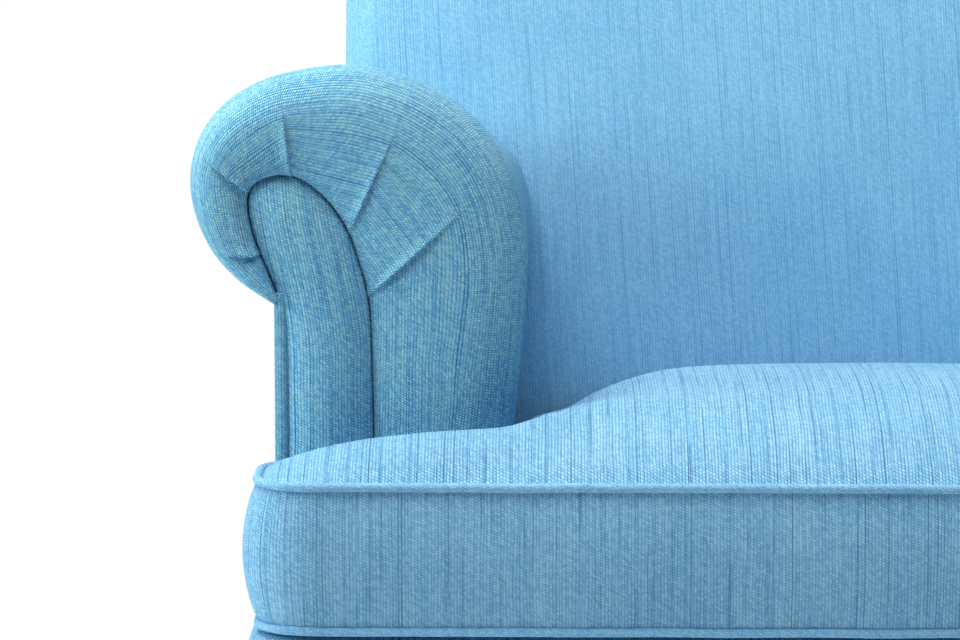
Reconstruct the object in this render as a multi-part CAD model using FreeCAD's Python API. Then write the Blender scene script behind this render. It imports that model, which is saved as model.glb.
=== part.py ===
"""Rolled-arm upholstered armchair with a loose T-shaped seat cushion.

One STEP file per sub-part, in millimetres. +Z is up, the chair faces -Y, and the origin is the middle of the
chair's footprint on the floor. The chair is drawn with y = 0 at the cushion's front seam, and every piece is
shifted to the origin just before it is written.
"""

import math
import os

import FreeCAD
import Part

V = FreeCAD.Vector
os.makedirs("parts", exist_ok=True)

# ---------------------------------------------------------------- driving dimensions (mm)
GAP = 0.4            # air left between neighbouring curved solids
COVER = 2.0          # thickness of the woven cover

# heights
RAIL_BOTTOM = 175.0
RAIL_TOP = 290.0
DECK_TOP = 344.0
CUSHION_BOTTOM = 345.0
CUSHION_SEAM = 447.0     # the upper seam of the seat cushion
CUSHION_CROWN = 492.0
BASE_BOTTOM = 166.0
LEG_TOP = RAIL_BOTTOM

# plan
CUSHION_HALF_WIDTH = 447.0   # half the cushion's width over its two ears
EAR_DEPTH = 84.0             # how far an ear reaches back, to the front of the arm
SEAT_DEPTH = 532.0           # from the cushion's front seam to its back seam
ARM_WALL = 440.0             # outside face of the arm below its roll
ARM_INSIDE = 265.0           # inside face of the arm at its widest
ARM_REACH = 500.0            # how far out the scroll reaches
ARM_TOP = 722.0
ARM_SLOPE = 0.15             # how much the arm's top falls per millimetre towards the back
ROLL_FOOT = 560.0            # below this height the arm keeps its section along its whole length
ARM_FOOT = 346.0             # where the padding of the arms meets the deck
ARM_FRONT = 92.0             # front plane of the arm's padding
ARM_ROUND = 30.0             # rounding of the arm's front edge
ROUND_STEPS = 5              # sections that carry the rounding
FACING_FRONT = 93.0          # front plane of the padded facing
WALL_PANEL = 7.5             # thickness of the outside arm panel
BASE_HALF_WIDTH = 456.0      # half the width of the padded band round the base
BASE_FRONT = -6.0            # its front face

# frame stock
RAIL_THICK = 28.0
SIDE_RAIL_OUT = 432.0
SIDE_RAIL_IN = SIDE_RAIL_OUT - RAIL_THICK
FRONT_RAIL_Y = 30.0
REAR_RAIL_Y = 629.0
RAIL_END_Y = REAR_RAIL_Y + RAIL_THICK
POST_DEEP = 60.0
POST_WIDE = 32.0
ARM_RAIL_TOP = 618.0
STUMP_FRONT = 114.0
STUMP_THICK = 28.0
STUMP_BACK = STUMP_FRONT + STUMP_THICK

# back
RECLINE = math.tan(math.radians(12.0))
BACK_TOP = 884.0             # top of the back posts
POST_FRONT_Y = 597.0         # front face of a back post at the height of the seat rails
BACK_PAD = 72.0              # padding in front of the back posts
BACK_HALF_WIDTH = 415.0
BACK_ROUND = 30.0            # rounding of the back's padded edge
BACK_CROWN = 916.0           # top of the padded back
BACK_FOOT = 346.0            # where the padded back meets the deck
LINING = 4.6                 # webbing and hessian between the posts and the foam
REAR_PANEL = 6.0             # thickness of the outside back panel

# cushion trim
WELT_RADIUS = 3.2
ZIP_HALF = 205.0             # half the zip's length
ZIP_Z = 398.0

# legs
LEG_X = 383.0
FRONT_LEG_Y = 74.0
REAR_LEG_Y = 580.0
REAR_RAKE = 46.0
GLIDE_THICK = 5.0
GLIDE_RADIUS = 13.0

# fasteners
DOWEL_RADIUS = 5.0
DOWEL_LENGTH = 50.0
SCREW_RADIUS = 2.2
SCREW_LENGTH = 52.0
SCREW_HEAD_RADIUS = 4.5
BOLT_RADIUS = 4.0
BOLT_LENGTH = 70.0
HOLE_CLEARANCE = 0.05

# springs
SPRING_RADIUS = 1.9
SPRING_HALF_WIDTH = 24.0
SPRING_PITCH = 34.0
SPRING_Z = RAIL_TOP + 6.0
SPRING_XS = [-300.0, -180.0, -60.0, 60.0, 180.0, 300.0]

pieces = {}


# ---------------------------------------------------------------- small helpers
def box(x0, y0, z0, x1, y1, z1):
    """A block between two opposite corners."""
    return Part.makeBox(x1 - x0, y1 - y0, z1 - z0, V(x0, y0, z0))


def cylinder(radius, length, start, direction):
    return Part.makeCylinder(radius, length, start, direction)


def plane_wire(points, arcs=()):
    """A closed wire through points. A point whose index is in arcs is the middle of an arc."""
    edges, i, n = [], 0, len(points)
    while i < n:
        if (i + 1) % n in arcs:
            edges.append(Part.Arc(points[i], points[(i + 1) % n], points[(i + 2) % n]).toShape())
            i += 2
        else:
            edges.append(Part.LineSegment(points[i], points[(i + 1) % n]).toShape())
            i += 1
    return Part.Wire(edges)


def solid_along(wire, direction):
    return Part.Face(wire).extrude(direction)


def largest(shape):
    """The main solid of a cut, without its offcuts."""
    return max(shape.Solids, key=lambda solid: solid.Volume)


def mirrored(shape):
    """The same piece on the other side of the chair."""
    return shape.mirror(V(0, 0, 0), V(1, 0, 0))


def both_sides(name, left):
    """Stores a left piece and its mirror image. Left is the side at -X."""
    pieces[name + "_left"] = left
    pieces[name + "_right"] = mirrored(left)


def back_y(z, ahead=0.0):
    """Y of the back posts' front face at height z, or of a plane that far ahead of it."""
    return POST_FRONT_Y + max(0.0, z - RAIL_TOP) * RECLINE - ahead


def reclined_slab(x0, x1, z0, z1, ahead0, ahead1):
    """A slab parallel to the back, from ahead0 to ahead1 in front of the posts' front face."""
    points = [
        V(x0, back_y(z0, ahead0), z0), V(x0, back_y(z1, ahead0), z1),
        V(x0, back_y(z1, ahead1), z1), V(x0, back_y(z0, ahead1), z0),
    ]
    return solid_along(plane_wire(points), V(x1 - x0, 0, 0))


def rounded_outline(points, radii, z):
    """A closed horizontal wire through plan points (x, y), each corner rounded by its radius."""
    edges, ends = [], []
    n = len(points)
    for i in range(n):
        before, corner, after = (V(*points[(i + k) % n], z) for k in (-1, 0, 1))
        a, b = (before - corner).normalize(), (after - corner).normalize()
        if radii[i] <= 0:
            ends.append((corner, None, corner))
            continue
        half = a.getAngle(b) / 2
        reach, to_centre = radii[i] / math.tan(half), radii[i] / math.sin(half)
        bisector = (a + b).normalize()
        centre = corner + bisector * to_centre
        ends.append((corner + a * reach, centre - bisector * radii[i], corner + b * reach))
    for i in range(n):
        start, middle, end = ends[i]
        if middle is not None:
            edges.append(Part.Arc(start, middle, end).toShape())
        edges.append(Part.LineSegment(end, ends[(i + 1) % n][0]).toShape())
    return Part.Wire(edges)


# ---------------------------------------------------------------- outlines
def roll_outline(y, inset=0.0, foot=ARM_FOOT):
    """The arm's whole section at depth y: outside wall, scroll and inside face, drawn in by inset."""
    left = 1 - ARM_SLOPE * max(0.0, y - ARM_FRONT - ARM_ROUND) / (ARM_TOP - ROLL_FOOT)
    scroll = [
        V(-ARM_WALL, y, 554), V(-470, y, 573), V(-492, y, 608), V(-ARM_REACH, y, 640), V(-490, y, 674),
        V(-464, y, 702), V(-430, y, 717), V(-388, y, ARM_TOP), V(-338, y, 710), V(-297, y, 681),
        V(-272, y, 635), V(-ARM_INSIDE, y, 580), V(-268, y, 520), V(-277, y, 440),
    ]
    scroll = [p if p.z < ROLL_FOOT else V(p.x, y, ROLL_FOOT + left * (p.z - ROLL_FOOT)) for p in scroll]
    centre = V(-388, y, ROLL_FOOT + left * 50)
    scroll = [p + (centre - p).normalize() * inset for p in scroll]
    curve = Part.BSplineCurve()
    curve.interpolate(Points=scroll, InitialTangent=V(-1, 0, 0.35), FinalTangent=V(-0.05, 0, -1))
    low = [scroll[-1], V(scroll[-1].x, y, foot), V(scroll[0].x, y, foot), scroll[0]]
    sides = [Part.LineSegment(low[i], low[i + 1]).toShape() for i in range(3)]
    return Part.Wire([curve.toShape(), *sides])


def facing_outline(y, inset=0.0):
    """The hockey-stick outline of the arm's front panel, and of the stump behind it."""
    points = [
        V(-433, y, 346), V(-434, y, 540), V(-447, y, 585), V(-458, y, 628),
        V(-440, y, 646), V(-410, y, 636), V(-383, y, 592), V(-373, y, 545),
        V(-371, y, 346),
    ]
    wire = plane_wire(points, arcs=(2, 4, 6))
    return wire.makeOffset2D(-inset) if inset else wire


def seat_outline(z, grow=0.0):
    """The T-shaped outline of the seat cushion."""
    w, inner, back = CUSHION_HALF_WIDTH + grow, ARM_INSIDE - 6 + grow, SEAT_DEPTH + grow
    ear = EAR_DEPTH + grow
    points = [
        (-w, -grow), (w, -grow), (w, ear), (inner, ear),
        (inner, back), (-inner, back), (-inner, ear), (-w, ear),
    ]
    radii = [34, 34, 22, 6, 26, 26, 6, 22]
    return rounded_outline(points, radii, z)


# ---------------------------------------------------------------- frame of beech rails
def frame():
    """The glued hardwood frame, before its holes are bored."""
    wood = {}
    wood["front_seat_rail"] = box(
        -SIDE_RAIL_IN, FRONT_RAIL_Y, RAIL_BOTTOM, SIDE_RAIL_IN, FRONT_RAIL_Y + RAIL_THICK, RAIL_TOP)
    wood["rear_seat_rail"] = box(
        -SIDE_RAIL_IN + POST_WIDE, REAR_RAIL_Y, RAIL_BOTTOM, SIDE_RAIL_IN - POST_WIDE, RAIL_END_Y, RAIL_TOP)
    wood["side_seat_rail_left"] = box(
        -SIDE_RAIL_OUT, FRONT_RAIL_Y, RAIL_BOTTOM, -SIDE_RAIL_IN, RAIL_END_Y, RAIL_TOP)
    post = [
        V(-SIDE_RAIL_IN, POST_FRONT_Y, RAIL_BOTTOM),
        V(-SIDE_RAIL_IN, POST_FRONT_Y, RAIL_TOP),
        V(-SIDE_RAIL_IN, back_y(BACK_TOP), BACK_TOP),
        V(-SIDE_RAIL_IN, back_y(BACK_TOP) + POST_DEEP, BACK_TOP),
        V(-SIDE_RAIL_IN, POST_FRONT_Y + POST_DEEP, RAIL_TOP),
        V(-SIDE_RAIL_IN, POST_FRONT_Y + POST_DEEP, RAIL_BOTTOM),
    ]
    wood["back_post_left"] = solid_along(plane_wire(post), V(POST_WIDE, 0, 0))
    inner = SIDE_RAIL_IN - POST_WIDE
    wood["crest_rail"] = reclined_slab(-inner, inner, BACK_TOP - 75, BACK_TOP, 0, -30)
    wood["lower_back_rail"] = reclined_slab(-inner, inner, 392, 452, 0, -28)
    wood["spring_brace"] = box(
        -18, FRONT_RAIL_Y + RAIL_THICK, RAIL_BOTTOM + 10, 18, REAR_RAIL_Y, RAIL_BOTTOM + 60)
    wood["arm_stump_left"] = stump()
    wood["arm_rail_left"] = box(-448, STUMP_BACK, ARM_RAIL_TOP - 20, -SIDE_RAIL_IN, 722, ARM_RAIL_TOP)
    tuck = box(-400, STUMP_BACK, 385, -376, 700, 425)
    wood["arm_tuck_rail_left"] = tuck.cut(reclined_slab(-450, -300, 300, 600, 0, -120))
    wood["corner_block_front_left"] = corner_block(FRONT_RAIL_Y + RAIL_THICK, 1)
    wood["corner_block_rear_left"] = corner_block(POST_FRONT_Y, -1)
    return wood


def stump():
    """The arm's front stump: the scroll above the rail and a foot screwed inside the side rail."""
    upper = solid_along(facing_outline(STUMP_FRONT, inset=5), V(0, STUMP_THICK, 0))
    below = box(-SIDE_RAIL_IN, STUMP_FRONT, RAIL_BOTTOM, -376, STUMP_BACK, 352)
    shoulder = box(-428, STUMP_FRONT, RAIL_TOP, -SIDE_RAIL_IN, STUMP_BACK, 352)
    return upper.fuse([below, shoulder]).removeSplitter()


def corner_block(y, way):
    """A triangular block glued and screwed into a corner of the seat frame. way is +1 at the front."""
    leg = 72.0
    z0, thick = RAIL_BOTTOM + 4, 42.0
    points = [V(-SIDE_RAIL_IN, y, z0), V(-SIDE_RAIL_IN + leg, y, z0), V(-SIDE_RAIL_IN, y + way * leg, z0)]
    block = solid_along(plane_wire(points), V(0, 0, thick))
    if way > 0:
        block = block.cut(box(-450, STUMP_FRONT, 100, -300, STUMP_BACK + 60, 400))
    return block


def dowels():
    """Birch dowels across the frame's glued joints."""
    along_x, along_y = V(1, 0, 0), V(0, 1, 0)
    half = DOWEL_LENGTH / 2
    found = []
    for side in (-1, 1):
        for z in (RAIL_BOTTOM + 28, RAIL_TOP - 28):
            found.append((V(side * SIDE_RAIL_IN - half, FRONT_RAIL_Y + RAIL_THICK / 2, z), along_x))
        inner = side * (SIDE_RAIL_IN - POST_WIDE)
        for z in (RAIL_BOTTOM + 28, RAIL_TOP - 28):
            found.append((V(inner - half, REAR_RAIL_Y + RAIL_THICK / 2, z), along_x))
        for z in (BACK_TOP - 58, BACK_TOP - 20):
            found.append((V(inner - half, back_y(z) + 15, z), along_x))
        for z in (407, 437):
            found.append((V(inner - half, back_y(z) + 14, z), along_x))
        found.append((V(side * 426, STUMP_BACK - half + 8, ARM_RAIL_TOP - 10), along_y))
        found.append((V(side * 388, STUMP_BACK - half + 8, 405), along_y))
    return found


def screws():
    """Wood screws through the corner blocks, and through each stump and arm rail into its neighbour."""
    found = []
    z = RAIL_BOTTOM + 25
    for side in (-1, 1):
        x = side * SIDE_RAIL_IN
        for y, way in ((FRONT_RAIL_Y + RAIL_THICK, 1), (POST_FRONT_Y, -1)):
            found.append((V(x - side * 44, y + way * 26, z), V(0, -way, 0)))
            found.append((V(x - side * 30, y + way * 36, z + 9), V(side, 0, 0)))
        for height in (205, 260):
            found.append((V(side * 376, STUMP_FRONT + 14, height), V(side, 0, 0)))
        found.append((V(side * 448, 690, ARM_RAIL_TOP - 10), V(-side, 0, 0)))
    return found


def screw_solid(head, direction):
    """A countersunk screw whose head's face is at head."""
    cone = Part.makeCone(SCREW_HEAD_RADIUS, SCREW_RADIUS, 3.0, head, direction)
    shank = cylinder(SCREW_RADIUS, SCREW_LENGTH, head, direction)
    return cone.fuse(shank).removeSplitter()


def leg_bolts():
    """Hanger bolts from the legs up into the corner blocks."""
    return [
        (V(side * LEG_X, y, LEG_TOP - BOLT_LENGTH / 2 + 4), V(0, 0, 1))
        for side in (-1, 1) for y in (FRONT_LEG_Y, REAR_LEG_Y)
    ]


# ---------------------------------------------------------------- legs
def front_leg():
    """A turned leg: square block, cove, tapering shaft and a small foot."""
    profile = [
        V(0, 0, GLIDE_THICK), V(15, 0, GLIDE_THICK), V(18, 0, 14), V(14, 0, 24), V(21, 0, 70), V(27, 0, 118),
        V(22, 0, 126), V(29, 0, 134), V(24, 0, 142), V(0, 0, 142),
    ]
    shaft = Part.Face(plane_wire(profile, arcs=(2, 7))).revolve(V(0, 0, 0), V(0, 0, 1), 360)
    top = box(-29, -29, 142, 29, 29, LEG_TOP)
    top = top.makeFillet(2.5, [e for e in top.Edges if abs(e.Vertexes[0].Z - e.Vertexes[1].Z) > 1])
    return shaft.fuse(top).removeSplitter().translate(V(-LEG_X, FRONT_LEG_Y, 0))


def rear_leg():
    """A square leg that tapers and rakes backwards."""
    top = Part.makePolygon([V(-27, -27, 0), V(27, -27, 0), V(27, 27, 0), V(-27, 27, 0), V(-27, -27, 0)])
    foot = top.copy()
    foot.scale(0.62, V(0, 0, 0))
    foot.translate(V(0, REAR_RAKE, GLIDE_THICK))
    top.translate(V(0, 0, LEG_TOP))
    leg = Part.makeLoft([foot, top], True, True)
    return leg.translate(V(-LEG_X, REAR_LEG_Y, 0))


def glides():
    """Plastic pads nailed under the legs."""
    feet = [V(side * LEG_X, y, 0) for side in (-1, 1) for y in (FRONT_LEG_Y, REAR_LEG_Y + REAR_RAKE)]
    return Part.makeCompound([cylinder(GLIDE_RADIUS, GLIDE_THICK, foot, V(0, 0, 1)) for foot in feet])


# ---------------------------------------------------------------- springs and webbing
def zigzag(x):
    """One sinuous spring wire, running back from the front rail at x."""
    y0, y1 = FRONT_RAIL_Y + 12, REAR_RAIL_Y + 14
    loops = int((y1 - y0 - 40) / (SPRING_PITCH / 2))
    step = (y1 - y0 - 40) / loops
    w, r = SPRING_HALF_WIDTH, step / 2
    z = SPRING_Z
    edges, y, side = [], y0 + 20, 1
    edges.append(Part.LineSegment(V(x, y0, z), V(x, y - r, z)).toShape())
    edges.append(Part.Arc(V(x, y - r, z), V(x + r * 0.3, y - r * 0.3, z), V(x + r, y, z)).toShape())
    start = V(x + r, y, z)
    for _ in range(loops):
        outer = V(x + side * (w - r), y, z)
        edges.append(Part.LineSegment(start, outer).toShape())
        turned = V(x + side * (w - r), y + step, z)
        edges.append(Part.Arc(outer, V(x + side * w, y + r, z), turned).toShape())
        start, y, side = turned, y + step, -side
    last = V(x - side * (r - 4), y, z)
    edges.append(Part.LineSegment(start, last).toShape())
    edges.append(Part.Arc(last, V(x - side * (r - 4) + side * r * 0.7, y + r * 0.3, z),
                          V(x - side * (r - 4) + side * r, y + r, z)).toShape())
    edges.append(Part.LineSegment(V(x - side * (r - 4) + side * r, y + r, z),
                                  V(x - side * (r - 4) + side * r, y1, z)).toShape())
    path = Part.Wire(edges)
    ring = Part.Wire([Part.Circle(V(x, y0, z), V(0, 1, 0), SPRING_RADIUS).toShape()])
    return path.makePipeShell([ring], True, True)


def spring_clip(x, y, way):
    """A folded steel clip nailed on the rail, with its loop round the spring's end. way is +1 at the front."""
    z, t = RAIL_TOP, 1.5
    low, high = z + t, SPRING_Z + SPRING_RADIUS + GAP
    profile = [
        V(x - 9, y, z), V(x - 9, y + way * 24, z), V(x - 9, y + way * 24, low), V(x - 9, y + way * t, low),
        V(x - 9, y + way * t, high), V(x - 9, y + way * 16, high), V(x - 9, y + way * 16, high + t),
        V(x - 9, y, high + t),
    ]
    return solid_along(plane_wire(profile), V(18, 0, 0))


# ---------------------------------------------------------------- soft parts
def behind_back():
    """Everything behind the chair's rear plane: upright at the seat rails, then reclined."""
    points = [
        V(-600, RAIL_END_Y, 0), V(-600, RAIL_END_Y, RAIL_TOP), V(-600, back_y(1100) + POST_DEEP, 1100),
        V(-600, 1200, 1100), V(-600, 1200, 0),
    ]
    return solid_along(plane_wire(points), V(1200, 0, 0))


def back_block(inset):
    """The padded back's outer form, drawn in by inset at its front, top and sides."""
    half, top = BACK_HALF_WIDTH - inset, BACK_CROWN - inset
    block = reclined_slab(-half, half, BACK_FOOT, top, BACK_PAD - inset, -POST_DEEP)
    def rounded(edge):
        middle = edge.CenterOfMass
        ahead = back_y(middle.z) - middle.y
        front, side, upper = ahead > BACK_PAD - inset - 1, abs(middle.x) > half - 1, middle.z > top - 1
        return (front and (side or upper)) or (side and upper)
    return block.makeFillet(BACK_ROUND - inset, [e for e in block.Edges if rounded(e)])


def arm_nose():
    """The rounded front end of the left arm's outer form."""
    sections = []
    for i in range(ROUND_STEPS + 1):
        turn = math.radians(90.0 * i / ROUND_STEPS)
        y = ARM_FRONT + ARM_ROUND * (1 - math.cos(turn))
        sections.append(roll_outline(y, ARM_ROUND * (1 - math.sin(turn))))
    return Part.makeLoft(sections, True)


def arm_body(inset, foot=ARM_FOOT):
    """The rest of the arm's outer form, from behind its nose to past the back, drawn in by inset."""
    start = ARM_FRONT + ARM_ROUND
    return Part.makeLoft([roll_outline(y, inset, foot) for y in (start, start + 700)], True, True)


def arm_core():
    """The room inside the arm that the stump, rails and webbing take."""
    long = solid_along(facing_outline(50), V(0, 900, 0))
    return long.cut(box(-600, STUMP_BACK + GAP, ARM_RAIL_TOP + GAP, 0, 1000, 800))


def arm_behind():
    """What the arm's padding gives way to at its rear end: the padded back, and the rear plane."""
    back = reclined_slab(-BACK_HALF_WIDTH - GAP, 0, 300, 1000, BACK_PAD + GAP, -200)
    return back.fuse(behind_back())


def build_arms():
    wall = box(-ARM_WALL - 2, 60, 100, -ARM_WALL + WALL_PANEL + GAP, 900, 554)
    core, rear = arm_core(), arm_behind()
    padding = arm_nose().fuse(arm_body(COVER))
    hollow = [wall, core, rear, pieces["arm_rail_left"]]
    both_sides("arm_padding", largest(padding.cut(hollow)))
    both_sides("arm_cover", arm_body(0).cut(arm_body(COVER, ARM_FOOT - 20)).cut(hollow))
    panel = box(-ARM_WALL, ARM_FRONT + 6, BASE_BOTTOM, -ARM_WALL + WALL_PANEL, 800, 553.5)
    stump_zone = solid_along(facing_outline(50, inset=-GAP), V(0, STUMP_BACK + GAP - 50, 0))
    both_sides("outside_arm_panel", panel.cut([behind_back(), stump_zone]))
    board_front = STUMP_FRONT - 7
    board = solid_along(facing_outline(board_front, inset=3), V(0, 6.7, 0))
    pad = solid_along(facing_outline(FACING_FRONT, inset=0.5), V(0, board_front - 0.3 - FACING_FRONT, 0))
    pad = pad.makeFillet(8, [e for e in pad.Edges if abs(e.CenterOfMass.y - FACING_FRONT) < 1])
    both_sides("arm_facing_board", board)
    both_sides("arm_facing_pad", pad)


def arm_lining(start, thick, widths):
    """Strips from the arm rail down to the tuck rail, start mm inside their faces, as solids of each width."""
    shift = V(start, 0, 0)
    points = [V(-404, 0, 600), V(-376, 0, 424), V(-376 + thick, 0, 424), V(-404 + thick, 0, 600)]
    outline = plane_wire([p + shift for p in points])
    solids = []
    for y0, y1 in widths:
        strip = solid_along(outline, V(0, y1 - y0, 0))
        solids.append(strip.translate(V(0, y0, 0)))
    return solids


def build_back():
    wood_zone = reclined_slab(-SIDE_RAIL_IN - GAP, SIDE_RAIL_IN + GAP, 300, BACK_TOP + GAP, LINING, -200)
    rails = [box(side * 426 - 24, 100, 380, side * 426 + 24, 760, 636) for side in (-1, 1)]
    tucks = [box(side * 388 - 13, 100, 380, side * 388 + 13, 760, 428) for side in (-1, 1)]
    skin = back_block(COVER)
    pieces["back_foam"] = largest(skin.cut([wood_zone, *rails, *tucks]))
    pieces["inside_back_cover"] = back_block(0).cut([skin, wood_zone, *rails, *tucks])
    inner = SIDE_RAIL_IN - 4
    across = [reclined_slab(-inner, inner, z, z + 50, 1.6, 0) for z in (480, 580, 680, 780)]
    down = [reclined_slab(x - 25, x + 25, 396, BACK_TOP - 4, 3.2, 1.6) for x in (-260, -130, 0, 130, 260)]
    pieces["back_webbing"] = Part.makeCompound(across + down)
    pieces["back_hessian"] = reclined_slab(-inner, inner, 394, BACK_TOP - 2, 4.4, 3.4).cut(tucks)


def build_outside_back():
    """The flat rear panel, whose edge follows the back above the arms and the arms' rolls below."""
    crown_y = back_y(BACK_CROWN) + POST_DEEP
    points = [
        V(-600, RAIL_END_Y, BASE_BOTTOM),
        V(-600, RAIL_END_Y, RAIL_TOP),
        V(-600, crown_y, BACK_CROWN),
        V(-600, crown_y + REAR_PANEL, BACK_CROWN),
        V(-600, RAIL_END_Y + REAR_PANEL, RAIL_TOP),
        V(-600, RAIL_END_Y + REAR_PANEL, BASE_BOTTOM),
    ]
    sheet = solid_along(plane_wire(points), V(1200, 0, 0))
    roll = arm_body(0)
    low = box(-ARM_WALL, 500, BASE_BOTTOM, ARM_WALL, 1000, 560)
    high = box(-BACK_HALF_WIDTH, 500, 500, BACK_HALF_WIDTH, 1000, BACK_CROWN)
    upper = [e for e in high.Edges if abs(e.CenterOfMass.z - BACK_CROWN) < 1]
    high = high.makeFillet(BACK_ROUND, [e for e in upper if abs(e.CenterOfMass.x) > 400])
    silhouette = low.fuse([high, roll, mirrored(roll)])
    pieces["outside_back_panel"] = sheet.common(silhouette).removeSplitter()


def t_sheet(z0, z1, half_front, half_rear, y0, step, y1):
    """A T-shaped layer for the deck: wide in front of the arms, narrow between them."""
    points = [
        V(-half_front, y0, z0), V(half_front, y0, z0), V(half_front, step, z0), V(half_rear, step, z0),
        V(half_rear, y1, z0), V(-half_rear, y1, z0), V(-half_rear, step, z0), V(-half_front, step, z0),
    ]
    return solid_along(plane_wire(points), V(0, 0, z1 - z0))


def build_base():
    hessian_z = SPRING_Z + SPRING_RADIUS + 3.2
    pieces["deck_hessian"] = t_sheet(hessian_z, hessian_z + 1.2, 430, 368, 32, 108, 594)
    pieces["deck_foam"] = t_sheet(hessian_z + 1.4, DECK_TOP - 2.2, 430, 368, 31, 110, 594)
    pieces["deck_cover"] = t_sheet(DECK_TOP - 2.0, DECK_TOP, 430, 368, 31, 110, 594)
    inner = box(-SIDE_RAIL_OUT - GAP, FRONT_RAIL_Y - GAP, 100, SIDE_RAIL_OUT + GAP, 200, 400)
    pieces["front_border_pad"] = border_block(COVER).cut(inner)
    pieces["front_border_cover"] = border_block(0).cut([border_block(COVER), inner])
    sheet = box(-430, 32, RAIL_BOTTOM - 1.4, 430, 655, RAIL_BOTTOM - 0.2)
    blocks = [box(s * LEG_X - 31, y - 31, 100, s * LEG_X + 31, y + 31, 200)
              for s in (-1, 1) for y in (FRONT_LEG_Y, REAR_LEG_Y)]
    pieces["dust_cover"] = sheet.cut(blocks)


def border_block(inset):
    """The padded band round the front of the base, drawn in by inset. It ends at the front of the arms."""
    half, front, rear = BASE_HALF_WIDTH - inset, BASE_FRONT + inset, ARM_FRONT + 5 - inset
    plan = [(-half, front), (half, front), (half, rear), (-half, rear)]
    z0, z1 = BASE_BOTTOM + inset, DECK_TOP - 0.5 - inset
    block = solid_along(rounded_outline(plan, [36, 36, 12, 12], z0), V(0, 0, z1 - z0))
    upper = [e for e in block.Edges if abs(e.CenterOfMass.z - z1) < 0.5]
    lower = [e for e in block.Edges if abs(e.CenterOfMass.z - z0) < 0.5]
    return block.makeFillet(11 - inset, upper + lower)


# ---------------------------------------------------------------- seat cushion
def crown(lift):
    """The space under the cushion's crowned top: arched from front to back and from side to side."""
    top, edge = CUSHION_CROWN + lift, CUSHION_SEAM + lift
    w, back = CUSHION_HALF_WIDTH + 10, SEAT_DEPTH + 10
    along = [
        V(-w, -10, 300), V(-w, -10, edge - 2), V(-w, SEAT_DEPTH * 0.45, top),
        V(-w, back, edge - 2), V(-w, back, 300),
    ]
    across = [V(-w, -10, 300), V(-w, -10, edge - 8), V(0, -10, top), V(w, -10, edge - 8), V(w, -10, 300)]
    lengthwise = solid_along(plane_wire(along, arcs=(2,)), V(2 * w, 0, 0))
    widthwise = solid_along(plane_wire(across, arcs=(2,)), V(0, back + 10, 0))
    return lengthwise.common(widthwise)


def build_cushion():
    low, seam = CUSHION_BOTTOM + WELT_RADIUS, CUSHION_SEAM
    whole = Part.Face(seat_outline(CUSHION_BOTTOM)).extrude(V(0, 0, 200))
    inside = Part.Face(seat_outline(CUSHION_BOTTOM, -COVER)).extrude(V(0, 0, 200))
    above = box(-600, -100, seam, 600, 700, 600)
    foam_top = seam - 22
    over_foam = box(-600, -100, foam_top, 600, 700, 600)
    under_foam = box(-600, -100, 300, 600, 700, low + COVER)
    foam = inside.cut([over_foam, under_foam])
    welts = [welt(z) for z in (low, seam)]
    pieces["cushion_foam"] = foam.cut(welts)
    under_skin, skin = crown(-COVER), crown(0)
    wrap = inside.common(under_skin).cut(box(-600, -100, 300, 600, 700, foam_top + 0.2))
    pieces["cushion_wrap"] = wrap.cut(welts)
    panel = whole.common(skin).cut(under_skin).cut(box(-600, -100, 300, 600, 700, seam - 14))
    ring = whole.cut(inside).cut(box(-600, -100, seam - 15, 600, 700, 600)).cut(
        box(-600, -100, 300, 600, 700, low))
    rear = box(-ARM_INSIDE + 40, SEAT_DEPTH - 8, low - 1, ARM_INSIDE - 40, SEAT_DEPTH + 1, seam)
    pieces["cushion_top_cover"] = panel.cut(welts)
    pieces["cushion_border"] = ring.cut([rear, *welts])
    pieces["cushion_rear_border"] = ring.common(rear).cut([zip_zone(), *welts])
    base = Part.Face(seat_outline(CUSHION_BOTTOM)).extrude(V(0, 0, COVER))
    pieces["cushion_bottom_cover"] = base.cut(welts)
    pieces["cushion_welts"] = Part.makeCompound(welts)
    pieces["cushion_zip"] = zip_tape()
    pieces["zip_slider"] = zip_slider()


def welt(z):
    """A fabric-covered cord sewn into the seam all round the cushion at height z."""
    path = seat_outline(z)
    start = path.Edges[0].Vertexes[0].Point
    tangent = path.Edges[0].tangentAt(path.Edges[0].FirstParameter)
    ring = Part.Wire([Part.Circle(start, tangent, WELT_RADIUS).toShape()])
    return path.makePipeShell([ring], True, True)


def zip_zone():
    """The opening that the zip fills in the rear border."""
    return box(-ZIP_HALF, SEAT_DEPTH - 9, ZIP_Z - 12, ZIP_HALF, SEAT_DEPTH + 9, ZIP_Z + 12)


def zip_tape():
    """Two woven tapes with the closed coil between them."""
    tape = box(-ZIP_HALF, SEAT_DEPTH - 1.6, ZIP_Z - 12, ZIP_HALF, SEAT_DEPTH - 0.6, ZIP_Z + 12)
    coil = box(-ZIP_HALF, SEAT_DEPTH - 0.6, ZIP_Z - 2, ZIP_HALF, SEAT_DEPTH + 0.9, ZIP_Z + 2)
    return tape.fuse(coil).removeSplitter()


def zip_slider():
    """The slider on the coil with its pull hanging from it."""
    x, y = ZIP_HALF - 16, SEAT_DEPTH + 0.9 + GAP
    body = box(x - 6, y, ZIP_Z - 5, x + 6, y + 2.2, ZIP_Z + 5)
    lips = [box(x - 6, SEAT_DEPTH - 0.6 + GAP, z - 1.2, x + 6, y, z + 1.2) for z in (ZIP_Z - 3.8, ZIP_Z + 3.8)]
    lug = box(x - 1.2, y + 2.2, ZIP_Z - 3.5, x + 1.2, y + 4.6, ZIP_Z + 3.5)
    pull = box(x - 3.5, y + 2.8, ZIP_Z - 27, x + 3.5, y + 4.0, ZIP_Z - 3.0)
    return body.fuse([*lips, lug, pull]).removeSplitter()


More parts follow.
